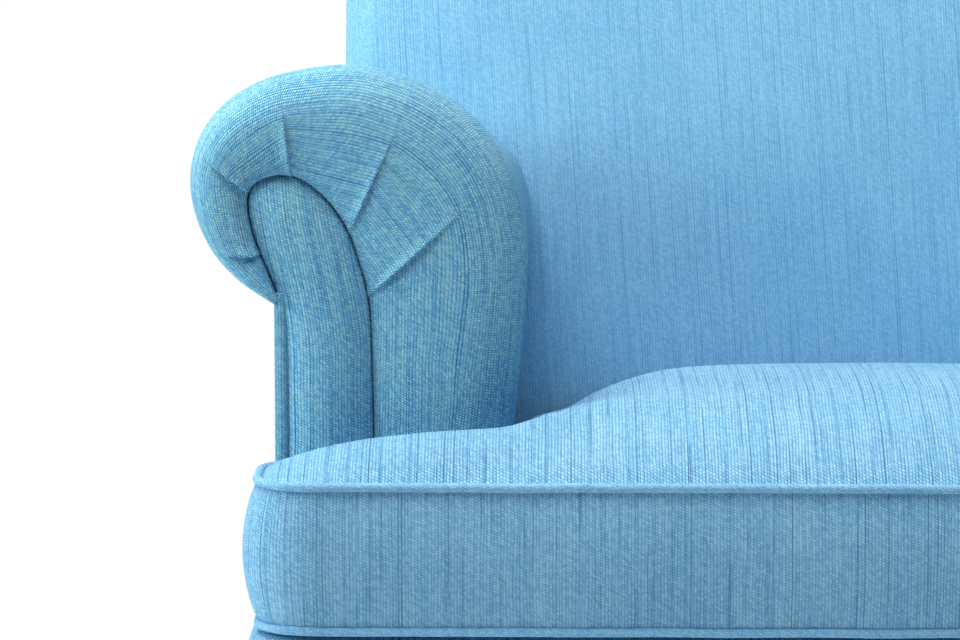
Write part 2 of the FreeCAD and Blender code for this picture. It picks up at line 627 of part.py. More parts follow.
# ---------------------------------------------------------------- build
def build_frame():
    wood = frame()
    wood["front_leg_left"], wood["rear_leg_left"] = front_leg(), rear_leg()
    for name in [n for n in wood if n.endswith("_left")]:
        wood[name.replace("_left", "_right")] = mirrored(wood[name])
    dowel_at, screw_at, bolt_at = dowels(), screws(), leg_bolts()
    dowel_solids = [cylinder(DOWEL_RADIUS, DOWEL_LENGTH, p, d) for p, d in dowel_at]
    screw_solids = [screw_solid(p, d) for p, d in screw_at]
    bolt_solids = [cylinder(BOLT_RADIUS, BOLT_LENGTH, p, d) for p, d in bolt_at]
    holes = [cylinder(DOWEL_RADIUS + HOLE_CLEARANCE, DOWEL_LENGTH + 2, p - d, d) for p, d in dowel_at]
    holes += [cylinder(BOLT_RADIUS + HOLE_CLEARANCE, BOLT_LENGTH + 2, p - d, d) for p, d in bolt_at]
    drilled = Part.makeCompound(holes + screw_solids)
    for name, solid in wood.items():
        pieces[name] = solid.cut(drilled)
    for end in ("front", "rear"):
        names = [f"corner_block_{end}_{side}" for side in ("left", "right")]
        pieces[f"corner_blocks_{end}"] = Part.makeCompound([pieces.pop(n) for n in names])
    pieces["frame_dowels"] = Part.makeCompound(dowel_solids)
    pieces["frame_screws"] = Part.makeCompound(screw_solids)
    pieces["leg_bolts"] = Part.makeCompound(bolt_solids)
    pieces["foot_glides"] = glides()


def build_suspension():
    pieces["seat_springs"] = Part.makeCompound([zigzag(x) for x in SPRING_XS])
    clips = [spring_clip(x, FRONT_RAIL_Y + 3, 1) for x in SPRING_XS]
    clips += [spring_clip(x, RAIL_END_Y - 3, -1) for x in SPRING_XS]
    pieces["spring_clips"] = Part.makeCompound(clips)
    top = SPRING_Z + SPRING_RADIUS
    wires = [cylinder(1.4, 780, V(-390, y, top + 1.5), V(1, 0, 0)) for y in (230.0, 430.0)]
    pieces["spring_tie_wires"] = Part.makeCompound(wires)


def build_linings():
    straps = arm_lining(0.1, 1.5, [(170, 220), (280, 330), (390, 440), (490, 540)])
    sheet = arm_lining(1.8, 1.0, [(150, 546)])
    pieces["arm_webbing"] = Part.makeCompound(straps + [mirrored(s) for s in straps])
    pieces["arm_hessian"] = Part.makeCompound(sheet + [mirrored(s) for s in sheet])


def write_parts():
    """Moves the origin to the middle of the chair's footprint and writes every piece."""
    whole = Part.makeCompound(list(pieces.values())).optimalBoundingBox(False)
    shift = V(0, -(whole.YMin + whole.YMax) / 2, 0)
    size = [round(v, 1) for v in (whole.XLength, whole.YLength, whole.ZLength)]
    print("y of the drawing's zero:", round(shift.y, 3), "size:", size)
    for name, shape in pieces.items():
        placed = shape.copy()
        placed.translate(shift)
        placed.exportStep(f"parts/{name}.step")
        if not placed.isValid() or not placed.Solids:
            print("NOT VALID:", name)


build_frame()
build_suspension()
build_linings()
build_arms()
build_back()
build_outside_back()
build_base()
build_cushion()
write_parts()
print(len(pieces), "sub-parts")
for name, shape in pieces.items():
    print(name, shape.isValid(), len(shape.Solids), round(shape.Volume / 1000, 1))
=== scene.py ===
# %% [markdown]
# # A rolled-arm armchair, one upholstered piece at a time
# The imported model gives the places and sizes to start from. Wooden and metal parts, and the linings inside,
# keep their own meshes and only receive a finish. Each cover that can be seen is made again as cloth over
# padding: real folds, seams and welts, with a weave that follows the way each panel was cut.

# %% Load the frame
import bpy
import math
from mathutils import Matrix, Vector, noise


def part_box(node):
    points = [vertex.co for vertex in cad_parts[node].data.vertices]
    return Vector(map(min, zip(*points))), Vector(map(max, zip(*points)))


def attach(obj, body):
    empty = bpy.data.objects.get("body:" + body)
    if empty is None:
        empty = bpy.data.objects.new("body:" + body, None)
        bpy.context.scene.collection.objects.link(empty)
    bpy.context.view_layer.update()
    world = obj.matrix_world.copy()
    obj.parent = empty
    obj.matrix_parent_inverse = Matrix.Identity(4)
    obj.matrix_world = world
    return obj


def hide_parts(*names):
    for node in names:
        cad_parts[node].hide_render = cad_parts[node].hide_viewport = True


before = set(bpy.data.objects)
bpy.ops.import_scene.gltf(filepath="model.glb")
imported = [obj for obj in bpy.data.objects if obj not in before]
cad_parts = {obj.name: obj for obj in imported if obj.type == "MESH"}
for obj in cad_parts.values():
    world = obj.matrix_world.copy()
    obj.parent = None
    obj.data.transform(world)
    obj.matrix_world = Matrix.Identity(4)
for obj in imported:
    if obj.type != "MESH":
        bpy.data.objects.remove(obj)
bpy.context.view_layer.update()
MM = 0.001

# %% [markdown]
# The cushion's front seam is the handiest line to measure from, because the eye follows it across the whole
# chair. One could place each piece from the middle of the chair instead, but every upholsterer's measure
# ("the arm starts 92 mm behind the seam") is easier to read from this line, so `at` turns such a measure,
# in millimetres, into a point of the frame.

# %% Measures from the cushion's front seam
WELT_R = 3.2
welt_low, welt_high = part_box("cushion_welts")
SEAM_Y = welt_low[1] / MM + WELT_R
SEAM_TOP = welt_high[2] / MM - WELT_R
SEAM_BOTTOM = welt_low[2] / MM + WELT_R
CUSHION_HALF = welt_high[0] / MM - WELT_R
CUSHION_REAR = welt_high[1] / MM - WELT_R - SEAM_Y


def at(x, y, z):
    """A point in the frame, from millimetres with y counted from the cushion's front seam."""
    return Vector((x * MM, (y + SEAM_Y) * MM, z * MM))


def span(node):
    """A node's lowest and highest corner in the same millimetres as `at`."""
    low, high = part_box(node)
    return ([low[0] / MM, low[1] / MM - SEAM_Y, low[2] / MM],
            [high[0] / MM, high[1] / MM - SEAM_Y, high[2] / MM])


print("seam heights", round(SEAM_BOTTOM, 1), round(SEAM_TOP, 1), "rear seam", round(CUSHION_REAR, 1))

# %% [markdown]
# Padding is built as a grid of points: one direction runs around the piece, the other along it. A grid keeps
# each thread of the weave traceable, which sculpting would lose. `grid_mesh` turns rows of points into a
# mesh, and stores for every corner how far along and across the cloth it lies, in metres. The weave
# materials read those lengths, so that a thread is the same size on each panel of the chair.

# %% Grid meshes with cloth lengths
def new_piece(name, verts, faces, lengths, material, body, slot="blue_tweed"):
    """A mesh object whose faces carry cloth lengths, one (across, along) pair in metres per face corner."""
    mesh = bpy.data.meshes.new(name)
    mesh.from_pydata([tuple(v) for v in verts], [], faces)
    layer = mesh.uv_layers.new(name="weave")
    for loop, pair in zip(layer.data, (p for face in lengths for p in face)):
        loop.uv = pair
    for poly in mesh.polygons:
        poly.use_smooth = True
    mesh.validate()
    mesh.update()
    piece = bpy.data.objects.new(name, mesh)
    bpy.context.scene.collection.objects.link(piece)
    mesh.materials.append(material)
    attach(piece, body)
    return piece


def grid_mesh(rows, cloth, closed=False):
    """Faces between rows of points. `cloth` holds one (across, along) pair per point of each row."""
    verts = [p for row in rows for p in row]
    n = len(rows[0])
    faces, lengths = [], []
    for i in range(len(rows) - 1):
        for j in range(n if closed else n - 1):
            k = (j + 1) % n
            faces.append((i * n + j, i * n + k, (i + 1) * n + k, (i + 1) * n + j))
            far = cloth[i][k] if k else cloth[i][n]
            far_next = cloth[i + 1][k] if k else cloth[i + 1][n]
            lengths.append((cloth[i][j], far, far_next, cloth[i + 1][j]))
    return verts, faces, lengths


def smoothstep(low, high, value):
    """0 below low, 1 above high, and a soft step between them."""
    t = min(1.0, max(0.0, (value - low) / (high - low)))
    return t * t * (3 - 2 * t)


def mix(a, b, t):
    return a + (b - a) * t


def turned(faces, lengths):
    """The same faces and cloth lengths, seen from their other side."""
    return [f[::-1] for f in faces], [f[::-1] for f in lengths]


def soften(piece):
    """Rounds a piece off with one level of subdivision."""
    smooth = piece.modifiers.new("soften", "SUBSURF")
    smooth.levels = smooth.render_levels = 1


print("grid helpers ready")

# %% [markdown]
# An upholsterer draws each outline through a few chalk marks and lets the chalk run smoothly between them.
# A Catmull-Rom curve does the same: it passes through every mark and needs no handles. Bezier curves would
# give more control than these soft shapes call for. `Line` keeps the lengths along the curve as well,
# because cloth is measured along the curve and not across it.

# %% A smooth line through chalk marks
class Line:
    """A smooth open line through plan marks (a, b), read by the length run along it."""

    def __init__(self, marks, step=1.0):
        self.points = []
        for i in range(len(marks) - 1):
            quad = [Vector(marks[max(0, min(len(marks) - 1, i + k))]) for k in (-1, 0, 1, 2)]
            pieces = max(2, int((quad[2] - quad[1]).length / step))
            self.points += [self.between(quad, k / pieces) for k in range(pieces)]
        self.points.append(Vector(marks[-1]))
        self.runs = [0.0]
        for a, b in zip(self.points, self.points[1:]):
            self.runs.append(self.runs[-1] + (b - a).length)
        self.length = self.runs[-1]

    @staticmethod
    def between(q, t):
        return 0.5 * (2 * q[1] + (q[2] - q[0]) * t + (2 * q[0] - 5 * q[1] + 4 * q[2] - q[3]) * t * t
                      + (3 * q[1] - q[0] - 3 * q[2] + q[3]) * t ** 3)

    def at(self, run):
        """The point that far along the line."""
        run = min(max(run, 0.0), self.length)
        low, high = 0, len(self.runs) - 1
        while high - low > 1:
            middle = (low + high) // 2
            if self.runs[middle] <= run:
                low = middle
            else:
                high = middle
        part = (run - self.runs[low]) / max(1e-9, self.runs[high] - self.runs[low])
        return self.points[low].lerp(self.points[high], part)

    def nearest(self, mark):
        """How far along the line its nearest point to a mark lies."""
        mark = Vector(mark)
        return self.runs[min(range(len(self.points)), key=lambda i: (self.points[i] - mark).length)]


print("a straight line of 100 measures", round(Line([(0, 0), (50, 0), (100, 0)]).length, 2))

# %% [markdown]
# ## The cloth
# The cover is a coarse tweed: short light floats step over and under each other in a broken twill, and every
# centimetre or so a thicker or thinner yarn leaves a long straight groove. An image of cloth would be quick,
# but it blurs when one comes close, and repeats. Here shader nodes draw the yarns from the two cloth lengths
# stored on each piece: `across` counts yarns and `along` follows them.

# %% Small helpers for shader nodes
class Nodes:
    """Short calls for building one material's nodes."""

    def __init__(self, name):
        self.material = bpy.data.materials.new(name)
        self.material.use_nodes = True
        self.tree = self.material.node_tree
        self.shader = self.tree.nodes["Principled BSDF"]

    def node(self, kind, **settings):
        made = self.tree.nodes.new(kind)
        for key, value in settings.items():
            setattr(made, key, value)
        return made

    def feed(self, value, socket):
        if isinstance(value, bpy.types.NodeSocket):
            self.tree.links.new(value, socket)
        else:
            socket.default_value = value

    def math(self, operation, *values):
        made = self.node("ShaderNodeMath", operation=operation)
        for value, socket in zip(values, made.inputs):
            self.feed(value, socket)
        return made.outputs[0]

    def step(self, value, low, high):
        made = self.node("ShaderNodeMapRange", interpolation_type="SMOOTHSTEP")
        for item, name in ((value, "Value"), (low, "From Min"), (high, "From Max")):
            self.feed(item, made.inputs[name])
        return made.outputs[0]

    def point(self, x, y):
        made = self.node("ShaderNodeCombineXYZ")
        for value, socket in zip((x, y), made.inputs):
            self.feed(value, socket)
        return made.outputs[0]

    def noise(self, place, scale=1.0, detail=2.0, roughness=0.5):
        made = self.node("ShaderNodeTexNoise")
        self.feed(place, made.inputs["Vector"])
        for name, value in (("Scale", scale), ("Detail", detail), ("Roughness", roughness)):
            made.inputs[name].default_value = value
        return made.outputs[0]

    def blend(self, amount, first, second):
        made = self.node("ShaderNodeMix", data_type="RGBA")
        for value, socket in ((amount, made.inputs[0]), (first, made.inputs[6]), (second, made.inputs[7])):
            self.feed((*value, 1.0) if isinstance(value, tuple) and len(value) == 3 else value, socket)
        return made.outputs[2]

    def finish(self, colour, height=None, bump=0.5, depth=0.0004, **sockets):
        """Joins colour and relief to the shader and sets its plain sockets."""
        self.feed((*colour, 1.0) if isinstance(colour, tuple) else colour, self.shader.inputs["Base Color"])
        if height is not None:
            relief = self.node("ShaderNodeBump")
            relief.inputs["Strength"].default_value = bump
            relief.inputs["Distance"].default_value = depth
            self.feed(height, relief.inputs["Height"])
            self.feed(relief.outputs[0], self.shader.inputs["Normal"])
        for name, value in sockets.items():
            self.feed(value, self.shader.inputs[name.replace("_", " ")])
        return self.material


print("shader helpers ready")

# %% [markdown]
# The weave is a broken twill. Yarns stand in narrow upright columns, the wales; in each wale short light
# floats follow one another, and each wale starts a little higher than its neighbour until, every few wales,
# the step turns round. White noise looked up per float makes some floats paler, as in a yarn spun from mixed
# fibres. Long thin grooves run between wales at uneven distances: the borders of one-dimensional Voronoi
# cells give exactly such spacing, where stripes from a wave texture would be too regular.
# The colour follows the same relief. Float tops are painted lighter, and the gaps between floats and the
# grooves are painted darker: painted shade in the hollows of the weave, over the yarns' own paler and darker
# mix.

# %% The tweed
WALE = 2.2           # millimetres from one wale to the next
FLOAT = 1.9          # millimetres from one float to the next along a wale
TURN = 4.0           # wales after which the twill turns round
GROOVES = ((13.0, 0.0, 0.030), (31.0, 7.0, 0.017))   # millimetres apart, offset, share of the gap
TWEED_DARK = (0.105, 0.345, 0.640)
TWEED_MID = (0.225, 0.540, 0.830)
TWEED_LIGHT = (0.430, 0.735, 0.930)


def tweed(name, groove=1.0, depth=0.0014, soft=0.0, painted_light_rgb=(1.0, 1.0, 1.0)):
    """The chair's own cloth: groove scales its long lines and depth is its relief in metres. soft draws its
    colours together, or apart when negative, and the last argument scales their red, green and blue. These
    two are painted light: each part's copy of the one cloth is painted lighter or darker, and its yarns more
    or less contrasting, for how the light falls on that part."""
    n = Nodes(name)
    lengths = n.node("ShaderNodeUVMap", uv_map="weave").outputs[0]
    parts = n.node("ShaderNodeSeparateXYZ")
    n.feed(lengths, parts.inputs[0])
    across = n.math("MULTIPLY", parts.outputs[0], 1000.0)
    along = n.math("MULTIPLY", parts.outputs[1], 1000.0)

    def cloud(wide, long, **settings):
        """Noise that changes over about 1 / wide millimetres across the yarns and 1 / long along them."""
        return n.noise(n.point(n.math("MULTIPLY", across, wide), n.math("MULTIPLY", along, long)), **settings)

    drift = cloud(0.03, 0.02, detail=1.0)
    wales = n.math("MULTIPLY_ADD", drift, 1.2, n.math("DIVIDE", across, WALE))
    wale = n.math("FLOOR", wales)
    inside = n.math("SUBTRACT", n.math("FRACT", wales), 0.5)
    stagger = n.math("MULTIPLY", n.math("PINGPONG", wale, TURN), 0.37)
    floats = n.math("ADD", n.math("DIVIDE", along, FLOAT), n.math("MULTIPLY_ADD", inside, 0.55, stagger))
    count = n.math("FLOOR", floats)
    beat = n.math("SUBTRACT", n.math("FRACT", floats), 0.5)
    rounded = n.math("SUBTRACT", 1.0, n.math("MULTIPLY", n.math("MULTIPLY", inside, inside), 3.6))
    tapered = n.math("SUBTRACT", 1.0, n.math("MULTIPLY", n.math("MULTIPLY", beat, beat), 3.4))
    bead = n.math("MULTIPLY", rounded, tapered)
    mixed = n.node("ShaderNodeTexWhiteNoise", noise_dimensions="2D")
    n.feed(n.point(wale, count), mixed.inputs["Vector"])
    fibre = cloud(1.9, 1.1, detail=3.0, roughness=0.7)
    line = None
    for spacing, offset, width in GROOVES:
        cells = n.node("ShaderNodeTexVoronoi", voronoi_dimensions="1D", feature="DISTANCE_TO_EDGE")
        n.feed(n.math("MULTIPLY_ADD", across, 1 / spacing, offset), cells.inputs["W"])
        cells.inputs["Scale"].default_value = 1.0
        one = n.math("SUBTRACT", 1.0, n.step(cells.outputs["Distance"], width * 0.25, width * 1.25))
        line = one if line is None else n.math("MAXIMUM", line, one)
    fade = cloud(0.09, 0.014, detail=2.0)
    line = n.math("MULTIPLY", n.math("MULTIPLY", line, groove), n.step(fade, 0.30, 0.62))
    slub = cloud(0.42, 0.010, detail=1.0)
    relief = n.math("MULTIPLY_ADD", bead, 0.62, n.math("MULTIPLY", fibre, 0.50))
    relief = n.math("MULTIPLY_ADD", n.math("SUBTRACT", slub, 0.5), 0.45, relief)
    relief = n.math("MULTIPLY_ADD", line, -0.55, relief)
    # Painted shade: the colour below is set by tone, which carries the whole relief. So the hollows between
    # floats and the grooves are painted darker and the float tops lighter, while the white noise and the cloudy
    # noise give the yarns' own tone.
    cloudy = cloud(0.010, 0.010, detail=2.0)
    tone = n.math("MULTIPLY_ADD", n.math("SUBTRACT", mixed.outputs["Value"], 0.5), 0.30, relief)
    tone = n.math("MULTIPLY_ADD", n.math("SUBTRACT", cloudy, 0.5), 0.25, tone)
    # Painted light: this copy's yarn colours are scaled and drawn together or apart, so that the part looks lit
    # or shaded as the light falls on it.
    dark, mid, light = (tuple(min(0.97, b * mix(c, m, soft)) for b, c, m in zip(painted_light_rgb, colour, TWEED_MID))
                        for colour in (TWEED_DARK, TWEED_MID, TWEED_LIGHT))
    colour = n.blend(n.step(tone, 0.12, 0.56), dark, mid)
    colour = n.blend(n.step(tone, 0.56, 1.02), colour, light)
    return n.finish(colour, relief, bump=0.9, depth=depth, Roughness=0.86, Sheen_Weight=0.15,
                    Sheen_Roughness=0.45, Sheen_Tint=(0.70, 0.88, 1.0, 1.0), Specular_IOR_Level=0.2)


# Four copies of the one tweed, whose colour settings are painted light. The copy for the arms, facings, outside
# panels and rear panel is painted brighter and with stronger contrast, and the back's copy a little darker and
# flatter.
tweed_cloth_painted_brighter = tweed("light_blue_tweed_painted_brighter", groove=0.6, depth=0.0024, soft=-0.5, painted_light_rgb=(1.08, 1.26, 1.34))
seat_cloth = tweed("seat_tweed", depth=0.0015, soft=-0.1)
back_cloth_painted_darker = tweed("back_tweed_painted_darker", groove=0.8, depth=0.0006, soft=0.3, painted_light_rgb=(1.0, 0.98, 0.94))
welt_cloth = tweed("bias_cut_tweed", groove=0.25, depth=0.0008)
print("cloth:", tweed_cloth_painted_brighter.name, seat_cloth.name, back_cloth_painted_darker.name, welt_cloth.name)

# %% [markdown]
# ## The scroll arms
# The arm's cloth runs over the roll from the inside of the seat to the outside wall, and at the front it is
# gathered round a hockey-stick facing. The roll's rim is longer than the facing's edge, so the spare cloth
# is folded under in five mitred pleats. Sculpting could suggest pleats, but a grid stretched between the
# rim and the facing's edge lets each fold be a real one: along each fold line the grid dips under itself.
# All marks are for the left arm; the right arm mirrors them.

# %% The rim, the facing's edge and the fold lines
ARM_FOOT = 340
ROLL = Line([(-439.5, 556), (-464, 571), (-483, 591), (-495, 616), (-499, 640), (-496, 661), (-488, 679),
             (-473, 696), (-450, 710), (-422, 718), (-390, 721.5), (-362, 717.5), (-329, 705), (-297, 681),
             (-277, 650), (-267, 612), (-264.6, 588), (-265.5, 560), (-268, 525), (-272, 485), (-276, 440),
             (-277, 390), (-277, ARM_FOOT)])
FACING_EDGE = Line([(-437.5, 562), (-444, 578), (-449.5, 591), (-455, 607), (-458, 622), (-457, 634),
                    (-450, 642.5), (-438, 646), (-427, 645.5), (-415, 640), (-401, 627), (-389, 608.5),
                    (-381, 586), (-375.5, 566), (-373, 547), (-371.8, 505), (-371, 461), (-370.5, 400),
                    (-370.5, ARM_FOOT)])
# each fold: where it meets the rim, where it meets the facing, where it starts, and which side lies on top
FOLDS = [((-483, 591), (-449.5, 591), 0.12, 1), ((-496, 664), (-457.5, 635), 0.26, 1),
         ((-435, 715), (-427, 646), 0.33, -1), ((-340, 709), (-387.5, 606), 0.33, -1),
         ((-277, 651), (-374.5, 562), 0.29, -1)]
rim_runs = [0.0] + [ROLL.nearest(f[0]) for f in FOLDS] + [ROLL.nearest((-268, 525)), ROLL.length]
edge_runs = [0.0] + [FACING_EDGE.nearest(f[1]) for f in FOLDS] + [FACING_EDGE.nearest((-371.8, 505)),
                                                                   FACING_EDGE.length]
print("rim", round(ROLL.length), "mm, facing edge", round(FACING_EDGE.length), "mm")

# %% [markdown]
# Columns of the grid cross from the rim to the facing. They are about 5 mm apart, and crowd together at each
# fold, where a handful of them describe the folded lip: a rise, the lip itself, a tuck below it and the
# return. Each entry of `LIP` is a distance from the fold line and how high the cloth lies there.

# %% Columns of the arm's grid
COLUMN, LIP_REACH = 5.0, 11.5
LAST_PANEL = len(FOLDS)
LIP = [(-10.0, 0.18), (-6.0, 0.45), (-3.2, 0.80), (-1.4, 1.0), (-0.35, 0.75), (0.0, 0.0), (-0.5, -0.75),
       (0.3, -1.0), (1.8, -0.85), (4.5, -0.55), (9.0, -0.2)]


def arm_columns():
    """(rim run, edge run, panel, fold, height) for each column; fold is None away from the folds."""
    columns = []
    for k in range(len(rim_runs) - 1):
        width = rim_runs[k + 1] - rim_runs[k]
        head = LIP_REACH if 1 <= k <= LAST_PANEL else 0.0
        tail = LIP_REACH if k < LAST_PANEL else 0.0
        count = max(2, round((width - head - tail) / COLUMN))
        for i in range(count + (k == len(rim_runs) - 2)):
            run = head + (width - head - tail) * i / count
            edge = mix(edge_runs[k], edge_runs[k + 1], run / width)
            columns.append([rim_runs[k] + run, edge, min(k, LAST_PANEL), None, 0.0])
        if k < LAST_PANEL:
            edge = mix(edge_runs[k], edge_runs[k + 1], 1 - tail / width)
            columns.append([rim_runs[k + 1] - tail, edge, k, None, 0.0])
            side = FOLDS[k][3]
            for distance, height in (LIP if side < 0 else [(-d, h) for d, h in reversed(LIP)]):
                upper = height >= 0
                panel = k + (not upper if side < 0 else upper)
                near = k + (distance > 0)
                reach = rim_runs[near + 1] - rim_runs[near]
                edge = edge_runs[k + 1] + distance * (edge_runs[near + 1] - edge_runs[near]) / reach
                columns.append([rim_runs[k + 1] + distance, edge, panel, k, height])
    return columns


columns = arm_columns()
print(len(columns), "columns")

# %% [markdown]
# Seen from the side, each column swells from the rim to a full, rounded front and dives into the seam round
# the facing. A superellipse gives that fullness with one exponent: 2 is a plain ellipse, and a little more
# makes it look stuffed. The sleeve behind the rim runs back to the chair's rear, and its roll falls on the
# way.

# %% The nose and the sleeve of one arm
RIM_Y, FRONT_Y, SEAM_DEPTH = 126.0, 90.5, 105.0
FULL = 2.35
NOSE_ROWS = 30
FOLD_RISE = 2.5
RECLINE = math.tan(math.radians(12))
POST_FRONT, POST_DEEP, RAIL_TOP, BACK_PAD = 597.0, 60.0, 290.0, 72.0
ROLL_FOOT, ROLL_TOP, ARM_FALL = 560.0, 721.5, 0.15
SCROLL_CENTRE = Vector((-388, 610))
NEAR_COLUMNS = 12    # how many columns away the cloth's own direction is read, clear of the fold


def squash(y):
    """How much of the roll's height is left at depth y: the arm slopes down towards the back."""
    return 1 - ARM_FALL * max(0.0, y - RIM_Y) / (ROLL_TOP - ROLL_FOOT)


def lowered(z, y):
    """Height z of the arm at its front rim, carried back to depth y."""
    return z if z <= ROLL_FOOT else ROLL_FOOT + (z - ROLL_FOOT) * squash(y)


def back_at(z, ahead=0.0):
    """How far back the back posts' front face lies at height z, or a plane that far ahead of it."""
    return POST_FRONT + max(0.0, z - RAIL_TOP) * RECLINE - ahead


def nose_point(column, r):
    """A point of the padded front, from the rim (r = 0) to the seam round the facing (r = 1)."""
    rim, edge = ROLL.at(column[0]), FACING_EDGE.at(column[1])
    angle = math.pi * r
    swing, swell = math.cos(angle), abs(math.sin(angle))
    u = 0.5 * (1 - math.copysign(abs(swing) ** (2 / FULL), swing))
    rise = swell ** (2 / FULL)
    y = RIM_Y - (RIM_Y - FRONT_Y) * rise if r < 0.5 else SEAM_DEPTH - (SEAM_DEPTH - FRONT_Y) * rise
    flat = rim.lerp(edge, u)
    return Vector((flat.x, y, flat.y)), u


def fold_strength(fold, u):
    """How far a fold is open at u, from the rim (0) to the facing (1)."""
    start = FOLDS[fold][2]
    return smoothstep(start - 0.03, start + 0.45, u) * (1 - 0.85 * smoothstep(0.86, 0.99, u))


def nose_grid():
    """Rows of points and their fold displacements, from the rim to the seam."""
    base = [[nose_point(c, i / NOSE_ROWS) for c in columns] for i in range(NOSE_ROWS + 1)]
    rows = []
    for i in range(NOSE_ROWS + 1):
        row = []
        for j, column in enumerate(columns):
            p, u = base[i][j]
            if column[3] is not None:
                lower, upper = base[max(0, i - 1)][j][0], base[min(NOSE_ROWS, i + 1)][j][0]
                near = [base[i][k][0] for k in (max(0, j - NEAR_COLUMNS),
                                             min(len(columns) - 1, j + NEAR_COLUMNS))]
                normal = (upper - lower).cross(near[1] - near[0]).normalized()
                if normal.y > 0:
                    normal = -normal
                p = p + normal * (FOLD_RISE * column[4] * fold_strength(column[3], u))
            row.append(p)
        rows.append(row)
    return rows, [[q[1] for q in row] for row in base]


nose, nose_u = nose_grid()
print("nose rows", len(nose), "front at", round(min(p.y for row in nose for p in row), 1))

# %% [markdown]
# Inside each pleat the cloth lies flat, so its yarns are straight and meet the next pleat at a mitre; near
# the rim they bend round with the roll. The two cloth lengths are therefore a blend: measured round the
# roll at the rim, and measured straight across the panel near the facing.

# %% Cloth lengths on the nose
nose_depth = [[0.0] * len(columns)]
for i in range(NOSE_ROWS):
    gaps = [(nose_point(c, (i + 1) / NOSE_ROWS)[0] - nose_point(c, i / NOSE_ROWS)[0]).length for c in columns]
    nose_depth.append([d + g for d, g in zip(nose_depth[-1], gaps)])


def panel_frame(k):
    """Middle mark, direction of the yarns and inward direction of panel k, in the arm's front plane."""
    last = k + 1 if k < LAST_PANEL else -1
    start, end = ROLL.at(rim_runs[k]), ROLL.at(rim_runs[last])
    middle_run = (rim_runs[k] + rim_runs[last]) / 2
    inner = (FACING_EDGE.at(edge_runs[k + 1]) - FACING_EDGE.at(edge_runs[k])).normalized()
    along = ((end - start).normalized() + inner * (0.0 if k >= LAST_PANEL else 0.35)).normalized()
    if k >= LAST_PANEL:
        along = Vector((0, -1))
    inward = Vector((along.y, -along.x))
    middle = ROLL.at(middle_run)
    if inward.dot(FACING_EDGE.at((edge_runs[k] + edge_runs[k + 1]) / 2) - middle) < 0:
        inward = -inward
    column = min(range(len(columns)), key=lambda j: abs(columns[j][0] - middle_run))
    return middle, along, inward, middle_run, column


panel_frames = [panel_frame(k) for k in range(len(FOLDS) + 1)]


def nose_cloth(i, j, k):
    """(across, along) in metres at row i, column j, as panel k's own cloth."""
    middle, along, inward, middle_run, column = panel_frames[k]
    p = nose_point(columns[j], i / NOSE_ROWS)[0]
    flat = Vector((p.x, p.z)) - middle
    mid = nose_point(columns[column], i / NOSE_ROWS)[0]
    mid_in = (Vector((mid.x, mid.z)) - middle).dot(inward)
    weight = 0.92 * smoothstep(0.26, 0.72, nose_u[i][j])
    across = mix(nose_depth[i][j], flat.dot(inward) + nose_depth[i][column] - mid_in, weight)
    run = mix(columns[j][0], middle_run + flat.dot(along), weight)
    return (across * MM, run * MM)


def arm_piece(side):
    """One padded arm; side is -1 for the left and 1 for the right."""
    name = "arm_" + ("left" if side < 0 else "right")
    sleeve_steps = [0.012, 0.03, 0.055] + [0.055 + 0.945 * i / 26 for i in range(1, 27)]
    rows = list(reversed(nose))
    for t in sleeve_steps:
        row = []
        for c in columns:
            p = ROLL.at(c[0])
            rear = back_at(mix(p.y, lowered(p.y, 700), 0.9)) + POST_DEEP - 2
            soft = 1.6 * math.sin(0.011 * c[0] + 5.0 * t) * t * (1 - t) * 4
            y = mix(RIM_Y, rear, t)
            away = (p - SCROLL_CENTRE).normalized() * soft if p.y > ROLL_FOOT else Vector((0, 0))
            row.append(Vector((p.x + away.x, y, lowered(p.y + away.y, y))))
        rows.append(row)
    verts = [at(p.x * -side, p.y, p.z) for row in rows for p in row]
    n = len(columns)
    faces, lengths = [], []
    for i in range(len(rows) - 1):
        for j in range(n - 1):
            panel = max(columns[j][2], columns[j + 1][2])
            corners = [(i, j), (i, j + 1), (i + 1, j + 1), (i + 1, j)]
            pairs = []
            for a, b in corners:
                if a <= NOSE_ROWS:
                    pairs.append(nose_cloth(NOSE_ROWS - a, b, panel))
                else:
                    pairs.append(((RIM_Y - rows[a][b].y) * MM, columns[b][0] * MM))
            order = corners if side < 0 else corners[::-1]
            pairs = pairs if side < 0 else pairs[::-1]
            faces.append([a * n + b for a, b in order])
            lengths.append(pairs)
    piece = new_piece(name, verts, faces, lengths, tweed_cloth_painted_brighter, "chair")
    soften(piece)
    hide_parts("arm_padding_" + name[4:], "arm_cover_" + name[4:])
    return piece


arms = [arm_piece(-1), arm_piece(1)]
print([a.name for a in arms], len(arms[0].data.polygons), "faces each")

# %% [markdown]
# ## The facing
# A board is padded, covered and pinned over the raw ends of the pleats. Its outline is the same curve that
# the pleats run into. The padding makes it highest in the middle and rolls it over at the edge, so its height
# depends on how far a point is from the outline: a rounded step near the edge and a slow swell beyond it.

# %% The padded facings
FACING_FRONT, FACING_ROLL, FACING_SWELL = 90.5, 20.0, 2.2
FACING_RIBS = 26
FACING_LEVELS = [ARM_FOOT + 5.0 * i for i in range(56)]
FACING_LEVELS += [618, 622, 626, 630, 633.5, 636.5, 639, 641, 643, 644.5, 645.6]
STRAIGHT_MIDDLE, TOP_MIDDLE = -402.5, -438.0


def facing_middle(z):
    """The middle of the facing at height z: straight up, then over with the scroll."""
    return mix(STRAIGHT_MIDDLE, TOP_MIDDLE, smoothstep(520, 655, z))


